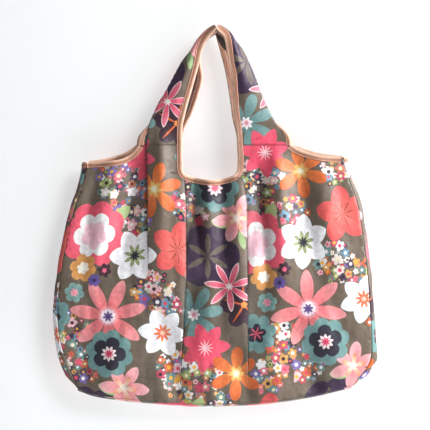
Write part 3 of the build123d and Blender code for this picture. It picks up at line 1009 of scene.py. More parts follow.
@dataclass
class Wall:
    """The front or the back wall of the body, as a pattern piece with its pleats.

    A place on it is given unfolded: s runs across with the swallowed cloth counted, and z is
    the level. place() folds it, and dye_place() says where it lies on the printed cloth.
    """

    side: Side
    seam_left: Points = ((-216, -226), (-224, -262), (-241, -316), (-258, -398), (-266, -470),
                         (-263, -520), (-252, -560), (-232, -608))
    seam_right: Points = ((217, -217), (228, -255), (243, -300), (257, -395), (263, -470),
                          (266, -525), (262, -565), (234, -604))
    bottom: Points = ((-232, -608), (-190, -621), (-99, -631), (-20, -635), (86, -631), (156, -621),
                      (234, -604))
    left_armhole: Points = ((-216, -226), (-188, -225), (-158, -221), (-137, -209), (-127, -195))
    right_armhole: Points = ((217, -217), (182, -215), (156, -209), (139, -202), (129, -195))
    neck: Points = ((-56, -195), (-55.5, -212), (-55, -228), (-53.5, -244), (-36, -251.5), (-5, -256.5),
                    (22, -252.5), (38.5, -244.5), (41, -226), (41, -210), (40, -195))
    middle_depth: float = 22.5
    top_depth: float = 13.0
    spacing: float = 4.2
    tilt: float = math.radians(13.25)  # how far the side parts hang turned from the middle
    left_pivot: tuple[float, float] = (-84.0, -603.0)
    right_pivot: tuple[float, float] = (60.0, -609.0)
    dye_shift: tuple[float, float] = (0.0, 0.0)
    pleats: tuple[Pleat, ...] = (
        Pleat(((-115, -195), (-112, -410)), -195, 42.0, False, 6.5, False),
        Pleat(((-48, -195), (-49, -238), (-51, -246), (-50, -257), (-47, -300), (-47, -420), (-53, -520),
               (-58, -600)), -246, 80.0, True, 7.0, True),
        Pleat(((34, -195), (36, -238), (38, -246), (50, -257), (56, -300), (57, -604)),
              -246, 80.0, True, 7.0, True),
    )
    ridges: tuple[Ridge, ...] = (
        Ridge((-90, -196), (-92, -500), 10.5, 15.0),
        Ridge((-134, -226), (-160, -430), -10.5, 17.0),
        Ridge((-172, -226), (-205, -440), 4.5, 15.0),
        Ridge((-208, -240), (-236, -470), -5.0, 13.0),
        Ridge((-34, -260), (-36, -560), -9.0, 11.0),
        Ridge((-10, -262), (-8, -540), 5.0, 12.0),
        Ridge((14, -262), (14, -520), -6.5, 11.0),
        Ridge((40, -258), (40, -560), 6.5, 11.0),
        Ridge((76, -250), (86, -580), -11.0, 12.0),
        Ridge((106, -222), (130, -540), 8.5, 14.0),
        Ridge((140, -222), (178, -500), -8.0, 15.0),
        Ridge((178, -228), (215, -470), 4.5, 14.0),
        Ridge((-186, -606), (-120, -440), 5.5, 17.0),
        Ridge((-60, -628), (-96, -450), -8.5, 15.0),
        Ridge((0, -630), (-40, -480), 4.5, 14.0),
        Ridge((60, -632), (20, -480), -4.5, 14.0),
        Ridge((110, -626), (70, -450), 4.5, 16.0),
        Ridge((170, -612), (120, -450), -8.0, 17.0),
        Ridge((222, -584), (160, -450), 4.5, 16.0),
        Ridge((-232, -590), (-205, -470), -4.0, 14.0),
    )

    def __post_init__(self) -> None:
        """Sets what differs on the back wall, whose armholes sit a little higher."""
        if self.side is Side.BACK:
            self.left_armhole = ((-216, -224), (-188, -220), (-158, -212), (-142, -204), (-131, -195))
            self.right_armhole = ((217, -215), (182, -211), (158, -204), (143, -199), (132, -195))
            self.dye_shift = (150.0, 96.0)

    @property
    def outward(self) -> float:
        """The sign of Y that points out of the bag."""
        return float(self.side.value)

    def seam(self, hand: Hand, z: Array) -> Array:
        """The side seam's x at each level."""
        points = catmull(self.seam_left if hand is Hand.LEFT else self.seam_right, np.linspace(0, 1, 80))
        order = np.argsort(points[:, 1])
        return np.interp(z, points[order, 1], points[order, 0])

    def base_line(self, x: Array) -> Array:
        """The bottom seam's z across the wall."""
        points = catmull(self.bottom, np.linspace(0, 1, 90))
        return np.interp(x, points[:, 0], points[:, 1])

    def neck_line(self, x: Array) -> Array:
        """The neck's lower edge across the opening."""
        low = [point for point in self.neck if point[1] < -240]
        return np.interp(x, [point[0] for point in low], [point[1] for point in low])

    def depth(self, x: Array, z: Array) -> Array:
        """How far the wall stands from the middle plane, before its folds."""
        rise = np.clip((HANDLE_Z - z) / (HANDLE_Z - FOLD_Z), 0, 1)
        fall = np.clip((FOLD_Z - z) / (FOLD_Z - BASE_Z), 0, 1)
        swell = self.middle_depth - self.top_depth
        full = self.top_depth + swell * np.sin(0.5 * math.pi * rise) - 9.0 * fall**2
        left, right = self.seam(Hand.LEFT, z), self.seam(Hand.RIGHT, z)
        across = np.clip(2 * (x - left) / (right - left) - 1, -1, 1)
        return full * (1 - 0.5 * np.abs(across) ** 2.6)

    def shift(self, x: Array, z: Array) -> Array:
        """How much cloth lies folded to the left of a visible place."""
        total = np.zeros_like(x, dtype=float)
        for pleat in self.pleats:
            past = x > pleat.edge(z)
            total = total + np.where(past, 2 * pleat.hidden(z), 0.0)
        return total

    def place(self, s: Array, z: Array) -> Array:
        """Folds unfolded places into the hanging wall.

        Args:
            s: Places across, with the swallowed cloth counted.
            z: Their levels.

        Returns:
            Points in millimetres.
        """
        s, z = np.asarray(s, float), np.asarray(z, float)
        x, out, taken = s.copy(), np.zeros_like(s), np.zeros_like(s)
        for pleat in self.pleats:
            hide = pleat.hidden(z)
            past = s - (pleat.edge(z) + taken + (0.0 if pleat.left_over else hide))
            x = x - 2 * np.clip(past, 0, hide)
            turn = 0.5 * (smoothstep(past, -2.5, 2.5) + smoothstep(past - hide, -2.5, 2.5))
            below_neck = (x > self.neck[0][0]) & (x < self.neck[-1][0])
            under = (past > 0) & (past < 2 * hide) & pleat.sewn & below_neck
            z = np.where(under, np.minimum(z, self.neck_line(x) - 1.5), z)
            fade = bell(np.minimum(past, 0), 40.0) * bell(np.maximum(past - 2 * hide, 0), 26.0)
            step = 1.3 * pleat.stand(z) * (0.5 - turn) * fade
            out = out + (step if pleat.left_over else -step)
            taken = taken + 2 * hide
        return self._shape(x, z, out)

    def _shape(self, x: Array, z: Array, out: Array) -> Array:
        """Adds the wall's depth, ridges and creases to folded places."""
        for ridge in self.ridges:
            out = out + ridge.at(x, z)
        from_left = x - self.seam(Hand.LEFT, z)
        from_right = self.seam(Hand.RIGHT, z) - x
        near_seam = smoothstep(from_left, 0, 30) * smoothstep(from_right, 0, 30)
        near_top = 0.35 + 0.65 * smoothstep(z, HANDLE_Z, HANDLE_Z - 90)
        flat = np.stack([x * 1.0, z * 0.42, np.full_like(x, 3.0 * self.outward)], 1)
        crumple = 3.0 * noise_at(flat, 34.0, 1.0) + 1.3 * noise_at(flat, 13.0, 2.0)
        depth = self.depth(x, z) + (out + crumple * near_top) * near_seam
        if self.side is Side.FRONT:
            depth = self._clear_pouch(x, z, depth)
        return np.stack([x, self.outward * depth, z], 1)

    def _clear_pouch(self, x: Array, z: Array, depth: Array) -> Array:
        """Keeps the front wall out of the way of the pouch as it swings forward.

        Args:
            x: Places across.
            z: Levels.
            depth: How far the wall stands from the middle plane.

        Returns:
            The depth, raised where the pouch would touch the cloth.
        """
        hinge, reach = POUCH_HINGE_Z, math.tan(math.radians(POUCH_SWING_DEGREES))
        near = smoothstep(x, -92.0, -70.0) * smoothstep(-x, -92.0, -70.0) * smoothstep(z, -455.0, -412.0)
        need = np.clip((hinge - z) * reach, 0.0, 24.5) - 0.5
        short = np.maximum(need - depth, 0.0)
        return depth + short * near

    def dye_place(self, s: Array, z: Array) -> Array:
        """Where unfolded places lie on the printed cloth, in metres.

        Args:
            s: Places across, with the swallowed cloth counted.
            z: Their levels.

        Returns:
            Print coordinates in metres.
        """
        s, z = np.asarray(s, float), np.asarray(z, float)
        folds = self.pleats
        start = folds[1].edge(z) + 2 * folds[0].hidden(z)
        mid = start + 2 * folds[1].hidden(z)
        end = folds[2].edge(z) + 2 * (folds[0].hidden(z) + folds[1].hidden(z))
        far = end + 2 * folds[2].hidden(z)
        left = self.hang(Hand.LEFT, s - 2 * folds[0].hidden(z), z)
        middle = np.stack([s - (mid - folds[1].edge(z)), -z], 1)
        right = self.hang(Hand.RIGHT, s - (far - folds[2].edge(z)), z)
        left_end = self.hang(Hand.LEFT, folds[1].edge(z), z)
        middle_start = np.stack([folds[1].edge(z), -z], 1)
        middle_end = np.stack([folds[2].edge(z), -z], 1)
        right_start = self.hang(Hand.RIGHT, folds[2].edge(z), z)
        one = np.clip((s - start) / np.maximum(mid - start, 0.5), 0, 1)[:, None]
        two = np.clip((s - end) / np.maximum(far - end, 0.5), 0, 1)[:, None]
        uv = np.where((s < start)[:, None], left, left_end * (1 - one) + middle_start * one)
        uv = np.where((s >= mid)[:, None], middle, uv)
        uv = np.where((s >= end)[:, None], middle_end * (1 - two) + right_start * two, uv)
        uv = np.where((s >= far)[:, None], right, uv)
        return (uv + np.array(self.dye_shift)) * MM

    def hang(self, hand: Hand, x: Array, z: Array) -> Array:
        """Print coordinates of a side part, which hangs turned about a pivot near its foot.

        Args:
            hand: Which side part.
            x: Where it is seen across.
            z: Where it is seen up and down.

        Returns:
            Places across and down the cloth, in millimetres.
        """
        left = hand is Hand.LEFT
        pivot, angle = (self.left_pivot, -self.tilt) if left else (self.right_pivot, self.tilt)
        z = np.asarray(z, float)
        slack = smoothstep(z, -420.0, -260.0)
        dx = np.asarray(x, float) - pivot[0] + (10.0 * slack if left else 0.0)
        rise = z - 11.0 * slack - pivot[1]
        c, s = math.cos(angle), math.sin(angle)
        return np.stack([pivot[0] + c * dx + s * np.maximum(rise, 0), -pivot[1] + s * dx - c * rise], 1)

    def outline(self) -> Array:
        """The pattern piece's outline, unfolded."""
        runs = [
            resample(self.left_armhole[::-1], self.spacing),
            resample(self.seam_left, self.spacing),
            resample(self.bottom, self.spacing),
            resample(self.seam_right[::-1], self.spacing),
            resample(self.right_armhole, self.spacing),
            resample([self.right_armhole[-1], self.neck[-1]], self.spacing),
            resample(self.neck[::-1], self.spacing),
            resample([self.neck[0], self.left_armhole[-1]], self.spacing),
        ]
        flat = np.vstack([run[:-1] for run in runs])
        loop = []
        for here, ahead in zip(flat, np.roll(flat, -1, axis=0)):
            s0, s1 = (p[0] + self.shift(p[:1], p[1:])[0] for p in (here, ahead))
            loop.append((s0, here[1]))
            steps = int(abs(s1 - s0) // (1.8 * self.spacing))
            for k in range(1, steps + 1):
                t = k / (steps + 1)
                loop.append((s0 + (s1 - s0) * t, here[1] + (ahead[1] - here[1]) * t))
        return np.array(loop)

    def swallowed(self, z: float, count: int) -> float:
        """How much cloth the first few pleats hide at a level."""
        return sum(2 * pleat.hidden(z) for pleat in self.pleats[:count])

    def creases(self) -> list[tuple[float, float]]:
        """Points that follow the folds, so that the mesh bends along them."""
        points = []
        for k, pleat in enumerate(self.pleats):
            levels = np.arange(pleat.head - 1.0, pleat.line[-1][1], -self.spacing)
            for z in levels:
                hide = float(pleat.hidden(z))
                side = 0.0 if pleat.left_over else hide
                start = float(pleat.edge(z)) + float(self.swallowed(z, k)) + side
                for place in (start, start + hide):
                    points.extend((place + off, float(z)) for off in (-2.2, 0.0, 2.2))
        return points

    def mesh(self) -> tuple[Array, list, Array]:
        """The wall's points, faces and print coordinates."""
        loop = self.outline()
        low, high = loop.min(0), loop.max(0)
        columns = np.arange(low[0], high[0], self.spacing)
        rows = np.arange(low[1], high[1], self.spacing * 0.9)
        inner = [
            (c + (0.5 * self.spacing if r % 2 else 0.0), z) for r, z in enumerate(rows) for c in columns
        ]
        folds = self.creases()
        near_fold = {(round(s / 3.0), round(z / 3.0)) for s, z in folds}
        inner = [p for p in inner if (round(p[0] / 3.0), round(p[1] / 3.0)) not in near_fold]
        edge_set = {(round(s / 2.5), round(z / 2.5)) for s, z in loop}
        inner = [p for p in inner + folds if (round(p[0] / 2.5), round(p[1] / 2.5)) not in edge_set]
        points = [Vector(p) for p in loop.tolist()] + [Vector(p) for p in inner]
        cut = delaunay_2d_cdt(points, [], [list(range(len(loop)))], 1, 0.3)
        used = sorted({corner for face in cut[2] for corner in face})
        number = {corner: place for place, corner in enumerate(used)}
        faces = [tuple(number[corner] for corner in face) for face in cut[2]]
        flat = np.array([tuple(cut[0][corner]) for corner in used])
        return self.place(flat[:, 0], flat[:, 1]), faces, self.dye_place(flat[:, 0], flat[:, 1])

    def build(self, finishes: Finishes) -> bpy.types.Object:
        """Makes the wall and dresses it.

        Args:
            finishes: The bag's materials.

        Returns:
            The wall.
        """
        points, faces, uv = self.mesh()
        wall = make_piece(f"{self.side.word}_wall", points, faces, uv)
        dress_cloth(wall, Vector((0, self.outward, 0)), finishes, 0.5)
        follow_fold(wall)
        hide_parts(f"{self.side.word}_panel_upper", f"{self.side.word}_panel_lower")
        loop = self.outline()
        return wall


def follow_fold(piece: bpy.types.Object) -> None:
    """Bakes a piece's placement into its mesh."""
    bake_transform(piece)


def follow_handle(piece: bpy.types.Object) -> None:
    """Bakes a piece's placement into its mesh."""
    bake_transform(piece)


# ---------------------------------------------------------------- bindings

Surface = Callable[[Array, float], Array]


@dataclass
class Binding:
    """Bias tape folded over an edge and stitched through.

    Attributes:
        name: The piece's name.
        nodes: The CAD nodes that it stands for.
        surface: Gives points of the cloth at each place of the run, a distance in from the edge.
        run: Where along the edge to read the cloth.
        width: The finished width.
    """

    name: str
    nodes: tuple[str, ...]
    surface: Surface
    run: Array
    width: float = 8.2
    proud: float = 1.1

    def section(self) -> list[tuple[float, float, float]]:
        """The tape's section: in from the edge, out of the cloth, and its dye place."""
        w, p = self.width, self.proud
        outer = [
            (w, 0.35 * p, 1.0), (0.96 * w, p, 0.96), (0.86 * w, 1.15 * p, 0.88), (0.78 * w, 0.72 * p, 0.78),
            (0.68 * w, 1.15 * p, 0.68), (0.4 * w, 1.3 * p, 0.42), (0.12 * w, 1.35 * p, 0.16), (-0.9, p, 0.04),
        ]
        inner = [(a, -b, v) for a, b, v in outer[::-1]]
        return outer + [(-1.5, 0.0, 0.0)] + inner

    def build(self, finishes: Finishes) -> bpy.types.Object:
        """Makes the tape and dresses it."""
        edge = smooth_rows(self.surface(self.run, 0.0), 3)
        near = smooth_rows(self.surface(self.run, 2.0), 3)
        inward = near - edge
        inward /= np.linalg.norm(inward, axis=1)[:, None] + 1e-9
        along = np.gradient(edge, axis=0)
        normal = np.cross(along, inward)
        normal /= np.linalg.norm(normal, axis=1)[:, None] + 1e-9
        lengths = run_lengths(edge)
        section = self.section()
        rings, uvs = [], []
        for a, b, v in section:
            base = smooth_rows(self.surface(self.run, max(a, 0.0)), 3) + inward * min(a, 0.0)
            rings.append(base + normal * b)
            uvs.append(np.stack([lengths * MM, np.full(len(edge), v)], 1))
        points = np.stack(rings, 1).reshape(-1, 3)
        faces = grid_faces(len(edge), len(section), closed=True)
        faces.append(tuple(range(len(section))))
        last = (len(edge) - 1) * len(section)
        faces.append(tuple(range(last + len(section) - 1, last - 1, -1)))
        piece = make_piece(self.name, points, faces, np.stack(uvs, 1).reshape(-1, 2))
        orient_closed(piece)
        piece.data.materials.append(finishes.tape)
        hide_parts(*self.nodes)
        return piece


def smooth_rows(points: Array, times: int) -> Array:
    """Averages a path's points with their neighbours, ends kept."""
    points = points.copy()
    for _ in range(times):
        points[1:-1] = 0.25 * points[:-2] + 0.5 * points[1:-1] + 0.25 * points[2:]
    return points


def orient_closed(piece: bpy.types.Object) -> None:
    """Turns a closed mesh's faces outward."""
    co = np.array([v.co for v in piece.data.vertices])
    volume = 0.0
    for polygon in piece.data.polygons:
        i = polygon.vertices
        for k in range(1, len(i) - 1):
            volume += float(np.dot(co[i[0]], np.cross(co[i[k]], co[i[k + 1]])))
    if volume < 0:
        piece.data.flip_normals()


def wall_bindings(wall: Wall, finishes: Finishes) -> list[bpy.types.Object]:
    """Bindings of a wall's neck and armholes.

    Args:
        wall: The wall they edge.
        finishes: The bag's materials.

    Returns:
        The three tapes.
    """
    edges = {
        "neck": (wall.neck, -1.0),
        "left_armhole": (wall.left_armhole, -1.0),
        "right_armhole": (wall.right_armhole, 1.0),
    }
    pieces = []
    for name, (points, turn) in edges.items():
        path = resample(points, 3.0)
        along = np.gradient(path, axis=0)
        along /= np.linalg.norm(along, axis=1)[:, None]
        into = turn * np.stack([-along[:, 1], along[:, 0]], 1)

        def surface(run: Array, inset: float, path: Array = path, into: Array = into) -> Array:
            """Points of the wall along this edge, a little way in from it."""
            at = path + into * inset
            i = np.clip(run.astype(int), 0, len(at) - 1)
            x, z = at[i, 0], at[i, 1]
            return wall.place(x + wall.shift(x, z), z)

        node = f"{wall.side.word}_{name}_binding"
        tape = Binding(node, (node,), surface, np.arange(len(path)))
        piece = tape.build(finishes)
        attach(piece, "tote_body")
        pieces.append(piece)
    return pieces


# ---------------------------------------------------------------- handles


@dataclass
class Strap:
    """One strap of a handle loop, from the body to the top of the loop.

    It is a wide strip of cloth. Its outer part is turned under along a crease that becomes
    the strap's visible outer edge, and at the top it turns to lie over the hook.

    Attributes:
        wall: The wall it grows from.
        hand: Which of the wall's two straps it is.
        inner: Its inner edge, from the body up, as x and z.
        outer: Its outer crease, from the body up, as x and z.
    """

    wall: Wall
    hand: Hand
    inner: Points
    outer: Points
    inner_depth: Sequence[float] = (13.5, 14.0, 14.5, 15.0, 16.0, 17.5, 19.0, 21.0, 22.0)
    outer_depth: Sequence[float] = (12.5, 12.5, 12.5, 12.0, 11.0, 9.0, 7.0, 5.0, 3.0)
    rows: int = 84
    columns: int = 46
    gap: float = 1.8

    @property
    def key(self) -> str:
        """The start of the strap's node names."""
        return f"{self.wall.side.word}_handle_{self.hand.word}"

    def _edge_lines(self, t: Array) -> tuple[Array, Array]:
        """The inner edge and the outer crease at each step up the strap."""
        lines = []
        for path, depth in ((self.inner, self.inner_depth), (self.outer, self.outer_depth)):
            flat = catmull(path, t)
            y = self.wall.outward * catmull(np.array(depth)[:, None], t)[:, 0]
            lines.append(np.stack([flat[:, 0], y, flat[:, 1]], 1))
        return lines[0], lines[1]

    def _base_places(self) -> tuple[float, float]:
        """The strap's inner and outer edge where it joins the wall, unfolded."""
        wall, left = self.wall, self.hand is Hand.LEFT
        neck = wall.neck[0] if left else wall.neck[-1]
        armhole = wall.left_armhole[-1] if left else wall.right_armhole[-1]
        ends = (neck[0], armhole[0])
        x = np.array(ends)
        s = x + wall.shift(x, np.full(2, HANDLE_Z))
        return float(s[0]), float(s[1])

    def surface(self, t: Array, q: Array) -> Array:
        """Points of the strap.

        Args:
            t: How far up, 0 at the body and 1 at the top.
            q: How far from the inner edge across the cloth, in millimetres.

        Returns:
            Points in millimetres.
        """
        t, q = np.broadcast_arrays(np.asarray(t, float), np.asarray(q, float))
        inner, outer = self._edge_lines(t)
        across = outer - inner
        front = np.linalg.norm(across, axis=1)
        across = across / front[:, None]
        ahead = self._edge_lines(np.clip(t + 0.01, 0, 1))
        behind = self._edge_lines(np.clip(t - 0.01, 0, 1))
        up = (ahead[0] + ahead[1]) - (behind[0] + behind[1])
        normal = np.cross(across, up)
        normal /= np.linalg.norm(normal, axis=1)[:, None] + 1e-9
        normal *= np.where(normal[:, 1] * self.wall.outward < 0, -1.0, 1.0)[:, None]
        back = self.tuck(t, front)
        past_one, past_two = np.maximum(q - front, 0), np.maximum(q - front - back, 0)
        along = np.minimum(q, front) - np.minimum(past_one, back) + past_two
        layer = smoothstep(q - front, -2.0, 2.0) + smoothstep(q - front - back, -2.0, 2.0)
        arch = np.sin(math.pi * np.clip(along / front, 0, 1))
        swell = (2.5 + 3.5 * smoothstep(t, 0.1, 0.5)) * arch * (1 - 0.35 * layer)
        reach = smoothstep(t, 0.25, 0.75) * (1 - smoothstep(t, 0.96, 1.0))
        crease = 1.3 * np.sin(along * 0.33 + 5.0 * t) * reach
        loose = self.gap + 1.4 * smoothstep(t, 0.5, 1.0)
        strap = inner + across * along[:, None] + normal * (swell + crease - layer * loose)[:, None]
        join = smoothstep(t, 0.0, 0.22)[:, None]
        s_inner, s_outer = self._base_places()
        s = s_inner + (s_outer - s_inner) * q / self.width(t)
        level_z = inner[:, 2] * (1 - q / self.width(t)) + outer[:, 2] * q / self.width(t)
        lap = bell(t, 0.01)
        body = self.wall.place(s, np.where(t > 0.3, HANDLE_Z, level_z - 1.5 * lap))
        body[:, 1] += self.wall.outward * 0.3 * lap
        return body * (1 - join) + strap * join

    def width(self, t: Array) -> Array:
        """The cloth's whole width across the strap."""
        s_inner, s_outer = self._base_places()
        inner, outer = self._edge_lines(t)
        front = np.linalg.norm(outer - inner, axis=1)
        base = abs(s_outer - s_inner)
        return base + (np.minimum(2.55 * front, 88.0) - base) * smoothstep(t, 0.04, 0.4)

    def tuck(self, t: Array, front: Array) -> Array:
        """How far the cloth goes back under before it turns again."""
        first = float(self.wall.pleats[0].hidden(HANDLE_Z)) if self.hand is Hand.LEFT else 0.0
        s_inner, s_outer = self._base_places()
        inner, outer = self._edge_lines(np.zeros(1))
        spare = 0.5 * (self.width(t) - front)
        start = first - 0.5 * (abs(s_outer - s_inner) - float(np.linalg.norm(outer - inner)))
        return np.clip(spare + start + (4.0 - start) * np.minimum(t / 0.12, 1.0), 0.0, 0.9 * front)

    def dye_place(self, t: Array, q: Array) -> Array:
        """Where places on the strap lie on the printed cloth, in metres."""
        inner, outer = self._edge_lines(t)
        share = q / self.width(t)
        z = inner[:, 2] * (1 - share) + outer[:, 2] * share
        seen = inner[:, 0] + self.hand.value * q
        return (self.wall.hang(self.hand, seen, z) + np.array(self.wall.dye_shift)) * MM

    def build(self, finishes: Finishes) -> bpy.types.Object:
        """Makes the strap and dresses it."""
        t = np.repeat(np.linspace(0, 1, self.rows), self.columns)
        share = np.tile(np.linspace(0, 1, self.columns), self.rows)
        q = share * self.width(t)
        points = self.surface(t, q)
        faces = grid_faces(self.rows, self.columns)
        piece = make_piece(self.key + "_strap", points, faces, self.dye_place(t, q))
        face_outward_first(piece, self.columns // 3, self.wall.outward)
        piece.data.materials.append(finishes.outside)
        piece.data.materials.append(finishes.reverse)
        thicken(piece, 0.45)
        follow_handle(piece)
        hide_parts(self.key + "_strap", f"{self.wall.side.word}_handle_top")
        return piece

    def bindings(self, finishes: Finishes) -> list[bpy.types.Object]:
        """The tapes along the strap's inner and outer edges."""
        pieces = []
        run = np.linspace(0, 1, 70)
        for name, outer in (("inner", False), ("outer", True)):
            def surface(t: Array, inset: float, outer: bool = outer) -> Array:
                """Points of the strap along this edge, a little way in from it."""
                q = self.width(t) - inset if outer else np.full_like(t, inset)
                return self.surface(t, q)

            node = f"{self.key}_{name}_binding"
            piece = Binding(node, (node,), surface, run, width=7.6, proud=0.9).build(finishes)
            follow_handle(piece)
            pieces.append(piece)
        return pieces


def face_outward_first(piece: bpy.types.Object, column: int, outward: float) -> None:
    """Turns a folded sheet's faces by the way that a face of its front layer looks."""
    normal = piece.data.polygons[column].normal
    if normal.y * outward < 0:
        piece.data.flip_normals()


APEX_INNER = (3.0, APEX_Z - 3.5)
APEX_OUTER = (4.0, APEX_Z - 0.5)
CREASE_LEFT = ((-115, -195), (-112, -165), (-98, -130), (-83, -104), (-69, -78), (-56, -54), (-39, -31),
               (-20, -10))
CREASE_RIGHT = ((129, -195), (107, -164), (91, -133), (79, -105), (69, -78), (58, -52), (46, -29), (29, -8))
FRONT_LEFT = ((-56, -195), (-55, -165), (-48, -133), (-40, -105), (-32, -77), (-26, -54), (-21, -33),
              (-11, -13))
FRONT_RIGHT = ((40, -195), (37, -165), (34, -133), (32, -105), (30, -78), (25, -56), (22, -34), (17, -12))
BACK_LEFT = ((-56, -195), (-48, -165), (-36, -133), (-27, -105), (-21, -80), (-24, -57), (-26, -33),
             (-16, -13))
BACK_RIGHT = ((40, -195), (33, -165), (30, -133), (26, -105), (22, -80), (17, -57), (11, -33), (6, -14))


def handle_straps(wall: Wall) -> list[Strap]:
    """The two straps of a wall's handle loop."""
    front = wall.side is Side.FRONT
    inner_left, inner_right = (FRONT_LEFT, FRONT_RIGHT) if front else (BACK_LEFT, BACK_RIGHT)
    return [
        Strap(wall, Hand.LEFT, inner_left + (APEX_INNER,), CREASE_LEFT + (APEX_OUTER,)),
        Strap(wall, Hand.RIGHT, inner_right + (APEX_INNER,), CREASE_RIGHT + (APEX_OUTER,)),
    ]


# ---------------------------------------------------------------- gussets and base


@dataclass
class Gusset:
    """A side gusset: a strip between the walls that bulges out with a soft middle crease."""

    walls: tuple[Wall, Wall]
    hand: Hand
    columns: int = 15
    rows: int = 110
    bulge: float = 8.5
    corner_bulge: float = 14.0

    def place(self, g: Array, z: Array) -> Array:
        """Points of the gusset.

        Args:
            g: The way across, 0 at the front seam and 1 at the back seam.
            z: Levels.

        Returns:
            Points in millimetres.
        """
        ends = []
        for wall in self.walls:
            x = wall.seam(self.hand, z)
            ends.append(wall.place(x + wall.shift(x, z), z))
        base = ends[0] * (1 - g)[:, None] + ends[1] * g[:, None]
        low = bell(z + 572.0, 42.0)
        out = (self.bulge + (self.corner_bulge - self.bulge) * low) * smoothstep(z, -614.0, -585.0)
        flat = np.stack([g * 40.0, z * 0.6, np.full_like(z, 50.0 * self.hand.value)], 1)
        ripple = 1.4 * noise_at(flat, 18.0, 4.0)
        profile = np.sin(math.pi * g) ** 0.75 - 0.22 * bell(g - 0.5, 0.1)
        base[:, 0] += self.hand.value * (out * profile + ripple * np.sin(math.pi * g))
        return base

    def build(self, finishes: Finishes) -> list[bpy.types.Object]:
        """Makes the gusset and the tape along its top.

        Args:
            finishes: The bag's materials.

        Returns:
            The gusset and the tape.
        """
        word = self.hand.word
        top = self.walls[0].seam_left[0][1] if self.hand is Hand.LEFT else self.walls[0].seam_right[0][1]
        foot = self.walls[0].seam_left[-1][1] if self.hand is Hand.LEFT else self.walls[0].seam_right[-1][1]
        z = np.repeat(np.linspace(top, foot, self.rows), self.columns)
        g = np.tile(np.linspace(0, 1, self.columns), self.rows)
        points = self.place(g, z)
        width = 52.0
        uv = np.stack([g * width + 90.0 * self.hand.value - 20.0, -z], 1) * MM
        piece = make_piece(f"{word}_gusset", points, grid_faces(self.rows, self.columns), uv)
        dress_cloth(piece, Vector((self.hand.value, 0, 0)), finishes, 0.45)
        follow_fold(piece)
        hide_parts(f"{word}_gusset_upper", f"{word}_gusset_lower")

        def surface(run: Array, inset: float) -> Array:
            """Points of the gusset along its top, a little way down from it."""
            return self.place(run, np.full_like(run, top - inset))

        node = f"{word}_gusset_binding"
        tape = Binding(node, (node,), surface, np.linspace(0.03, 0.97, 16)).build(finishes)
        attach(tape, "tote_body")
        return [piece, tape]


@dataclass
class Base:
    """The base: a strip between the walls' bottom seams that sags a little."""

    walls: tuple[Wall, Wall]
    columns: int = 13
    rows: int = 140
    sag: float = 5.0

    def build(self, finishes: Finishes) -> bpy.types.Object:
        """Makes the base.

        Args:
            finishes: The bag's materials.

        Returns:
            The base.
        """
        front, back = self.walls
        left, right = front.bottom[0][0], front.bottom[-1][0]
        x = np.repeat(np.linspace(left, right, self.rows), self.columns)
        g = np.tile(np.linspace(0, 1, self.columns), self.rows)
        ends = []
        for wall in (front, back):
            z = wall.base_line(x)
            ends.append(wall.place(x + wall.shift(x, z), z))
        points = ends[0] * (1 - g)[:, None] + ends[1] * g[:, None]
        flat = np.stack([x * 0.6, g * 30.0, np.zeros_like(x)], 1)
        droop = self.sag + 1.3 * noise_at(flat, 24.0, 6.0)
        points[:, 2] -= droop * np.sin(math.pi * g) ** 0.8
        uv = np.stack([x, 636.0 + g * 40.0], 1) * MM
        piece = make_piece("base_strip", points, grid_faces(self.rows, self.columns), uv)
        dress_cloth(piece, Vector((0, 0, -1)), finishes, 0.45)
        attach(piece, "lower_body")
        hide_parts("base_panel")
        return piece


# ---------------------------------------------------------------- pouch, label and tacks


def box_mm(node: str) -> tuple[Array, Array]:
    """A CAD node's lowest and highest corner, in millimetres."""
    low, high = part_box(node)
    return np.array(low) / MM, np.array(high) / MM


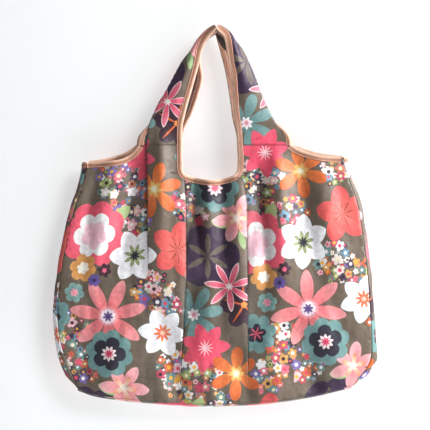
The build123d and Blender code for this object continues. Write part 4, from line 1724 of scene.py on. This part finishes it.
@dataclass
class StowPouch:
    """The small pouch that the folded bag goes into. It hangs inside the back wall."""

    corner: float = 12.0
    body: str = "stow_pouch"

    def _panel(self, node: str, outward: float, finishes: Finishes) -> bpy.types.Object:
        """A soft panel with rounded lower corners, a little full in its middle.

        Args:
            node: The CAD node it replaces.
            outward: The sign of Y that points out of the pouch.
            finishes: The bag's materials.

        Returns:
            The panel.
        """
        low, high = box_mm(node)
        rows, columns = 56, 52
        v, u = np.meshgrid(np.linspace(0, 1, rows), np.linspace(-1, 1, columns), indexing="ij")
        u, v = u.ravel(), v.ravel()
        z = low[2] + 0.6 + v * (high[2] - low[2] - 1.2)
        above = np.clip((z - low[2]) / self.corner, 0, 1)
        half = 0.5 * (high[0] - low[0]) - 0.8 - self.corner * (1 - np.sqrt(1 - (1 - above) ** 2))
        x = 0.5 * (low[0] + high[0]) + u * half
        full = (1 - u**4) * np.sin(math.pi * np.clip(v, 0.02, 0.94)) ** 0.7
        creases = 0.5 * noise_at(np.stack([x, z * 0.7, np.full_like(x, outward)], 1), 15.0, 8.0)
        y = 0.5 * (low[1] + high[1]) + outward * (0.3 + 0.9 * full + creases * full)
        points = np.stack([x, y, z], 1)
        uv = np.stack([x + 120, 90 - z], 1) * MM
        piece = make_piece(node + "_sheet", points, grid_faces(rows, columns), uv)
        dress_cloth(piece, Vector((0, outward, 0)), finishes, 0.4)
        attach(piece, self.body)
        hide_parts(node)
        return piece

    def _edging(self, finishes: Finishes) -> bpy.types.Object:
        """Bias tape that closes the pouch's two sides and its foot.

        Args:
            finishes: The bag's materials.

        Returns:
            The tape.
        """
        low, high = box_mm("pouch_edging")
        c, left, right = self.corner, low[0], high[0]
        bend = np.linspace(0, 0.5 * math.pi, 7)
        turn_left = [(left + c - c * math.cos(a), low[2] + c - c * math.sin(a)) for a in bend]
        turn_right = [(right - c + c * math.sin(a), low[2] + c - c * math.cos(a)) for a in bend]
        path = resample([(left, high[2]), *turn_left, *turn_right, (right, high[2])], 3.0, smooth=False)
        path = smooth_rows(path, 4)
        along = np.gradient(path, axis=0)
        along /= np.linalg.norm(along, axis=1)[:, None]
        into = np.stack([-along[:, 1], along[:, 0]], 1)

        def surface(run: Array, inset: float) -> Array:
            """Points along the pouch's edge, a little way in from it."""
            flat = (path + into * (inset + 1.6))[run.astype(int)]
            return np.stack([flat[:, 0], np.full(len(flat), 0.5 * (low[1] + high[1])), flat[:, 1]], 1)

        along_path = np.arange(len(path))
        tape = Binding("pouch_edging_tape", ("pouch_edging",), surface, along_path, width=6.5, proud=3.4)
        piece = tape.build(finishes)
        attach(piece, self.body)
        return piece

    def _band(self, node: str, finishes: Finishes) -> bpy.types.Object:
        """A flat folded band, rounded at its edges: the mouth's hem or the hanging tape.

        Args:
            node: The CAD node it replaces.
            finishes: The bag's materials.

        Returns:
            The band.
        """
        low, high = box_mm(node)
        middle, half = 0.5 * (low + high), 0.5 * (high - low)
        columns = 48
        angle = np.linspace(0, 2 * math.pi, 20, endpoint=False)
        x = np.linspace(low[0], high[0], columns)
        power = 0.35
        wave, swell = 0.12 * np.sin(x * 0.6), 1 + 0.03 * np.sin(x * 0.9)
        rings = []
        for a in angle:
            deep = np.sign(math.cos(a)) * abs(math.cos(a)) ** power
            tall = np.sign(math.sin(a)) * abs(math.sin(a)) ** power
            y, z = middle[1] + half[1] * deep + wave, middle[2] + half[2] * tall * swell
            rings.append(np.stack([x, y, z], 1))
        points = np.stack(rings, 1).reshape(-1, 3)
        faces = grid_faces(columns, len(angle), closed=True)
        faces.append(tuple(range(len(angle))))
        faces.append(tuple(range(columns * len(angle) - 1, (columns - 1) * len(angle) - 1, -1)))
        uv = np.stack([points[:, 0] * MM, (points[:, 2] - low[2]) / (high[2] - low[2])], 1)
        piece = make_piece(node + "_band", points, faces, uv)
        orient_closed(piece)
        piece.data.materials.append(finishes.tape)
        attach(piece, self.body)
        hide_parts(node)
        return piece

    def build(self, finishes: Finishes) -> list[bpy.types.Object]:
        """Makes the pouch."""
        return [
            self._panel("pouch_back", 1.0, finishes),
            self._panel("pouch_front", -1.0, finishes),
            self._edging(finishes),
            self._band("pouch_mouth_hem", finishes),
            self._band("pouch_hanging_tape", finishes),
        ]


@dataclass
class CareLabel:
    """A blank woven label sewn into the side seam, folded once and curling at its end."""

    node: str = "care_label"

    def build(self, finishes: Finishes) -> bpy.types.Object:
        """Makes the label.

        Args:
            finishes: The bag's materials.

        Returns:
            The label.
        """
        low, high = box_mm(self.node)
        rows, columns = 24, 26
        v, u = np.meshgrid(np.linspace(0, 1, rows), np.linspace(0, 1, columns), indexing="ij")
        u, v = u.ravel(), v.ravel()
        start = low[0] + 12.0  # the rest is sewn into the seam
        x = start + u * (high[0] - start)
        z = low[2] + v * (high[2] - low[2])
        y = 0.5 * (low[1] + high[1]) + 2.2 * u**2 * np.cos(v * 2.2) - 1.0 * u
        points, uv = np.stack([x, y, z], 1), np.stack([u, v], 1)
        piece = make_piece("care_label_tape", points, grid_faces(rows, columns), uv)
        face_outward(piece, Vector((0, -1, 0)))
        piece.data.materials.append(finishes.label)
        thicken(piece, 0.35)
        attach(piece, "tote_body")
        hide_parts(self.node)
        return piece


@dataclass
class PleatTacks:
    """Bar tacks that hold a wall's two pleats under the neck binding."""

    wall: Wall
    length: float = 11.0
    passes: int = 9

    def build(self, finishes: Finishes) -> bpy.types.Object:
        """Makes the two tacks as close zigzags of thread.

        Args:
            finishes: The bag's materials.

        Returns:
            Both tacks, as one piece.
        """
        node = f"{self.wall.side.word}_pleat_tacks"
        low, high = box_mm(node)
        points, faces = [], []
        for start in (low[0], high[0] - self.length):
            x = start + np.linspace(0, self.length, self.passes * 2 + 1)
            z = 0.5 * (low[2] + high[2]) + np.where(np.arange(len(x)) % 2, 1.1, -1.1)
            surface = self.wall.place(x + self.wall.shift(x, z), z)
            path = np.stack([surface[:, 0], surface[:, 1] + self.wall.outward * 1.5, surface[:, 2]], 1)
            ring, sides = tube(resample(path, 0.5, smooth=False), 0.28)
            count = sum(len(p) for p in points)
            points.append(ring)
            faces += [tuple(i + count for i in face) for face in sides]
        merged = np.vstack(points)
        piece = make_piece(f"{self.wall.side.word}_bar_tacks", merged, faces, merged[:, [0, 2]] * MM)
        orient_closed(piece)
        piece.data.materials.append(finishes.thread)
        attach(piece, "tote_body")
        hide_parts(node)
        return piece


def dress_snap(finishes: Finishes) -> None:
    """Gives the press stud's CAD parts their moulded finish."""
    for node in ("snap_front_cap", "snap_back_cap", "snap_socket", "snap_stud"):
        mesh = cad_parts[node].data
        mesh.materials.clear()
        mesh.materials.append(finishes.stud)


# ---------------------------------------------------------------- stage


class Studio:
    """Pale wall and floor, soft light and the camera."""

    CAMERA_DISTANCE = 3.0
    FIELD_WIDTH = 0.731  # what the camera sees across at the bag
    AIM = (0.001, -0.3145)
    WALL_Y = 0.046
    WALL_HALF = 3.0
    WALL_TOP = 2.4
    FLOOR_HALF = 1.9
    FLOOR_Z = -1.3
    SKY_LIGHT = 0.27  # how much the pale surroundings light the bag

    def build(self) -> None:
        """Makes the stage, the lights and the camera."""
        self._wall()
        self._floor()
        self._world()
        self._light("key_light", (1.5, -2.3, 1.1), 1.2, 30.0)
        # Raking light for the folds. It casts no shadow, so the wall shows the key light's alone.
        self._light("side_light", (3.0, -0.75, 0.7), 0.9, 190.0).use_shadow = False
        self._light("back_light", (0.6, 2.6, 0.8), 2.2, 55.0)
        self._camera()

    def _paint(self, name: str, colour: str, one_sided: bool) -> bpy.types.Material:
        """Matt wall paint, which can be clear when seen from behind."""
        material, tree, out = blank_material(name)
        grain = add(tree, "TexNoise", Scale=900.0, Detail=3.0)
        bump = add(tree, "Bump", Strength=0.1, Distance=0.0002, Height=grain.outputs[0])
        matt = add(tree, "BsdfPrincipled", Base_Color=linear(colour), Roughness=0.9, Normal=bump.outputs[0])
        surface = matt.outputs[0]
        if one_sided:
            rear = add(tree, "NewGeometry")
            clear = add(tree, "BsdfTransparent")
            surface = add(
                tree, "MixShader", i0=rear.outputs["Backfacing"], i1=matt.outputs[0], i2=clear.outputs[0]
            ).outputs[0]
        tree.links.new(surface, out.inputs[0])
        return material

    def _plane(
        self, name: str, corners: Sequence[Sequence[float]], material: bpy.types.Material
    ) -> bpy.types.Object:
        """A flat stage piece from its corners."""
        mesh = bpy.data.meshes.new(name)
        mesh.from_pydata([tuple(c) for c in corners], [], [(0, 1, 2, 3)])
        mesh.materials.append(material)
        piece = bpy.data.objects.new(name, mesh)
        bpy.context.scene.collection.objects.link(piece)
        return piece

    def _wall(self) -> None:
        """The wall behind the bag. It casts no shadow, so it doesn't darken the bag's back."""
        y, half, foot, top = self.WALL_Y, self.WALL_HALF, self.FLOOR_Z, self.WALL_TOP
        corners = [(-half, y, foot), (half, y, foot), (half, y, top), (-half, y, top)]
        wall = self._plane("studio_wall", corners, self._paint("matt_wall_paint", "#fbfdfd", True))
        wall.visible_shadow = False
        wall.visible_diffuse = False
        wall.visible_glossy = False

    def _floor(self) -> None:
        """The floor, well below the bag."""
        half, z = self.FLOOR_HALF, self.FLOOR_Z
        corners = [(-half, -half, z), (half, -half, z), (half, half, z), (-half, half, z)]
        self._plane("studio_floor", corners, self._paint("matt_floor_paint", "#eef1f2", False))

    def _world(self) -> None:
        """Even pale daylight from all round: dim as a light, bright where it is looked at."""
        world = bpy.data.worlds.new("soft_daylight")
        world.use_nodes = True
        tree = world.node_tree
        tree.nodes.clear()
        pale = linear("#f4f8fa")
        lit = add(tree, "Background", Color=pale, Strength=self.SKY_LIGHT)
        seen = add(tree, "Background", Color=pale, Strength=1.0)
        ray = add(tree, "LightPath")
        mix = add(tree, "MixShader", i0=ray.outputs["Is Camera Ray"], i1=lit.outputs[0], i2=seen.outputs[0])
        add(tree, "OutputWorld", Surface=mix.outputs[0])
        bpy.context.scene.world = world
        bpy.context.scene.view_settings.view_transform = "Standard"

    def _light(
        self, name: str, place: tuple[float, float, float], size: float, power: float
    ) -> bpy.types.Light:
        """A square soft light aimed at the bag."""
        data = bpy.data.lights.new(name, "AREA")
        data.size = size
        data.energy = power
        lamp = bpy.data.objects.new(name, data)
        lamp.location = place
        aim = Vector((0, 0, self.AIM[1])) - Vector(place)
        lamp.rotation_euler = aim.to_track_quat("-Z", "Y").to_euler()
        bpy.context.scene.collection.objects.link(lamp)
        return data

    def _camera(self) -> None:
        """A long lens straight in front of the bag."""
        data = bpy.data.cameras.new("camera")
        data.sensor_width = 36.0
        data.lens = data.sensor_width * self.CAMERA_DISTANCE / self.FIELD_WIDTH
        camera = bpy.data.objects.new("camera", data)
        camera.location = (self.AIM[0], -self.CAMERA_DISTANCE, self.AIM[1])
        camera.rotation_euler = (math.radians(90), 0, 0)
        bpy.context.scene.collection.objects.link(camera)
        bpy.context.scene.camera = camera


def main() -> None:
    """Builds the bag and its studio in order."""
    logging.basicConfig(level=logging.INFO, format="%(name)s: %(message)s")
    finishes = Finishes.build()
    walls = (Wall(Side.FRONT), Wall(Side.BACK))
    pieces = [wall.build(finishes) for wall in walls]
    for wall in walls:
        pieces += wall_bindings(wall, finishes)
        for strap in handle_straps(wall):
            pieces.append(strap.build(finishes))
            pieces += strap.bindings(finishes)
    for hand in Hand:
        pieces += Gusset(walls, hand).build(finishes)
    pieces.append(Base(walls).build(finishes))
    pieces += StowPouch().build(finishes)
    pieces.append(CareLabel().build(finishes))
    pieces += [PleatTacks(wall).build(finishes) for wall in walls]
    dress_snap(finishes)
    Studio().build()
    for piece in pieces:
        LOG.info("%s: %d faces", piece.name, len(piece.data.polygons))


if __name__ == "__main__":
    main()
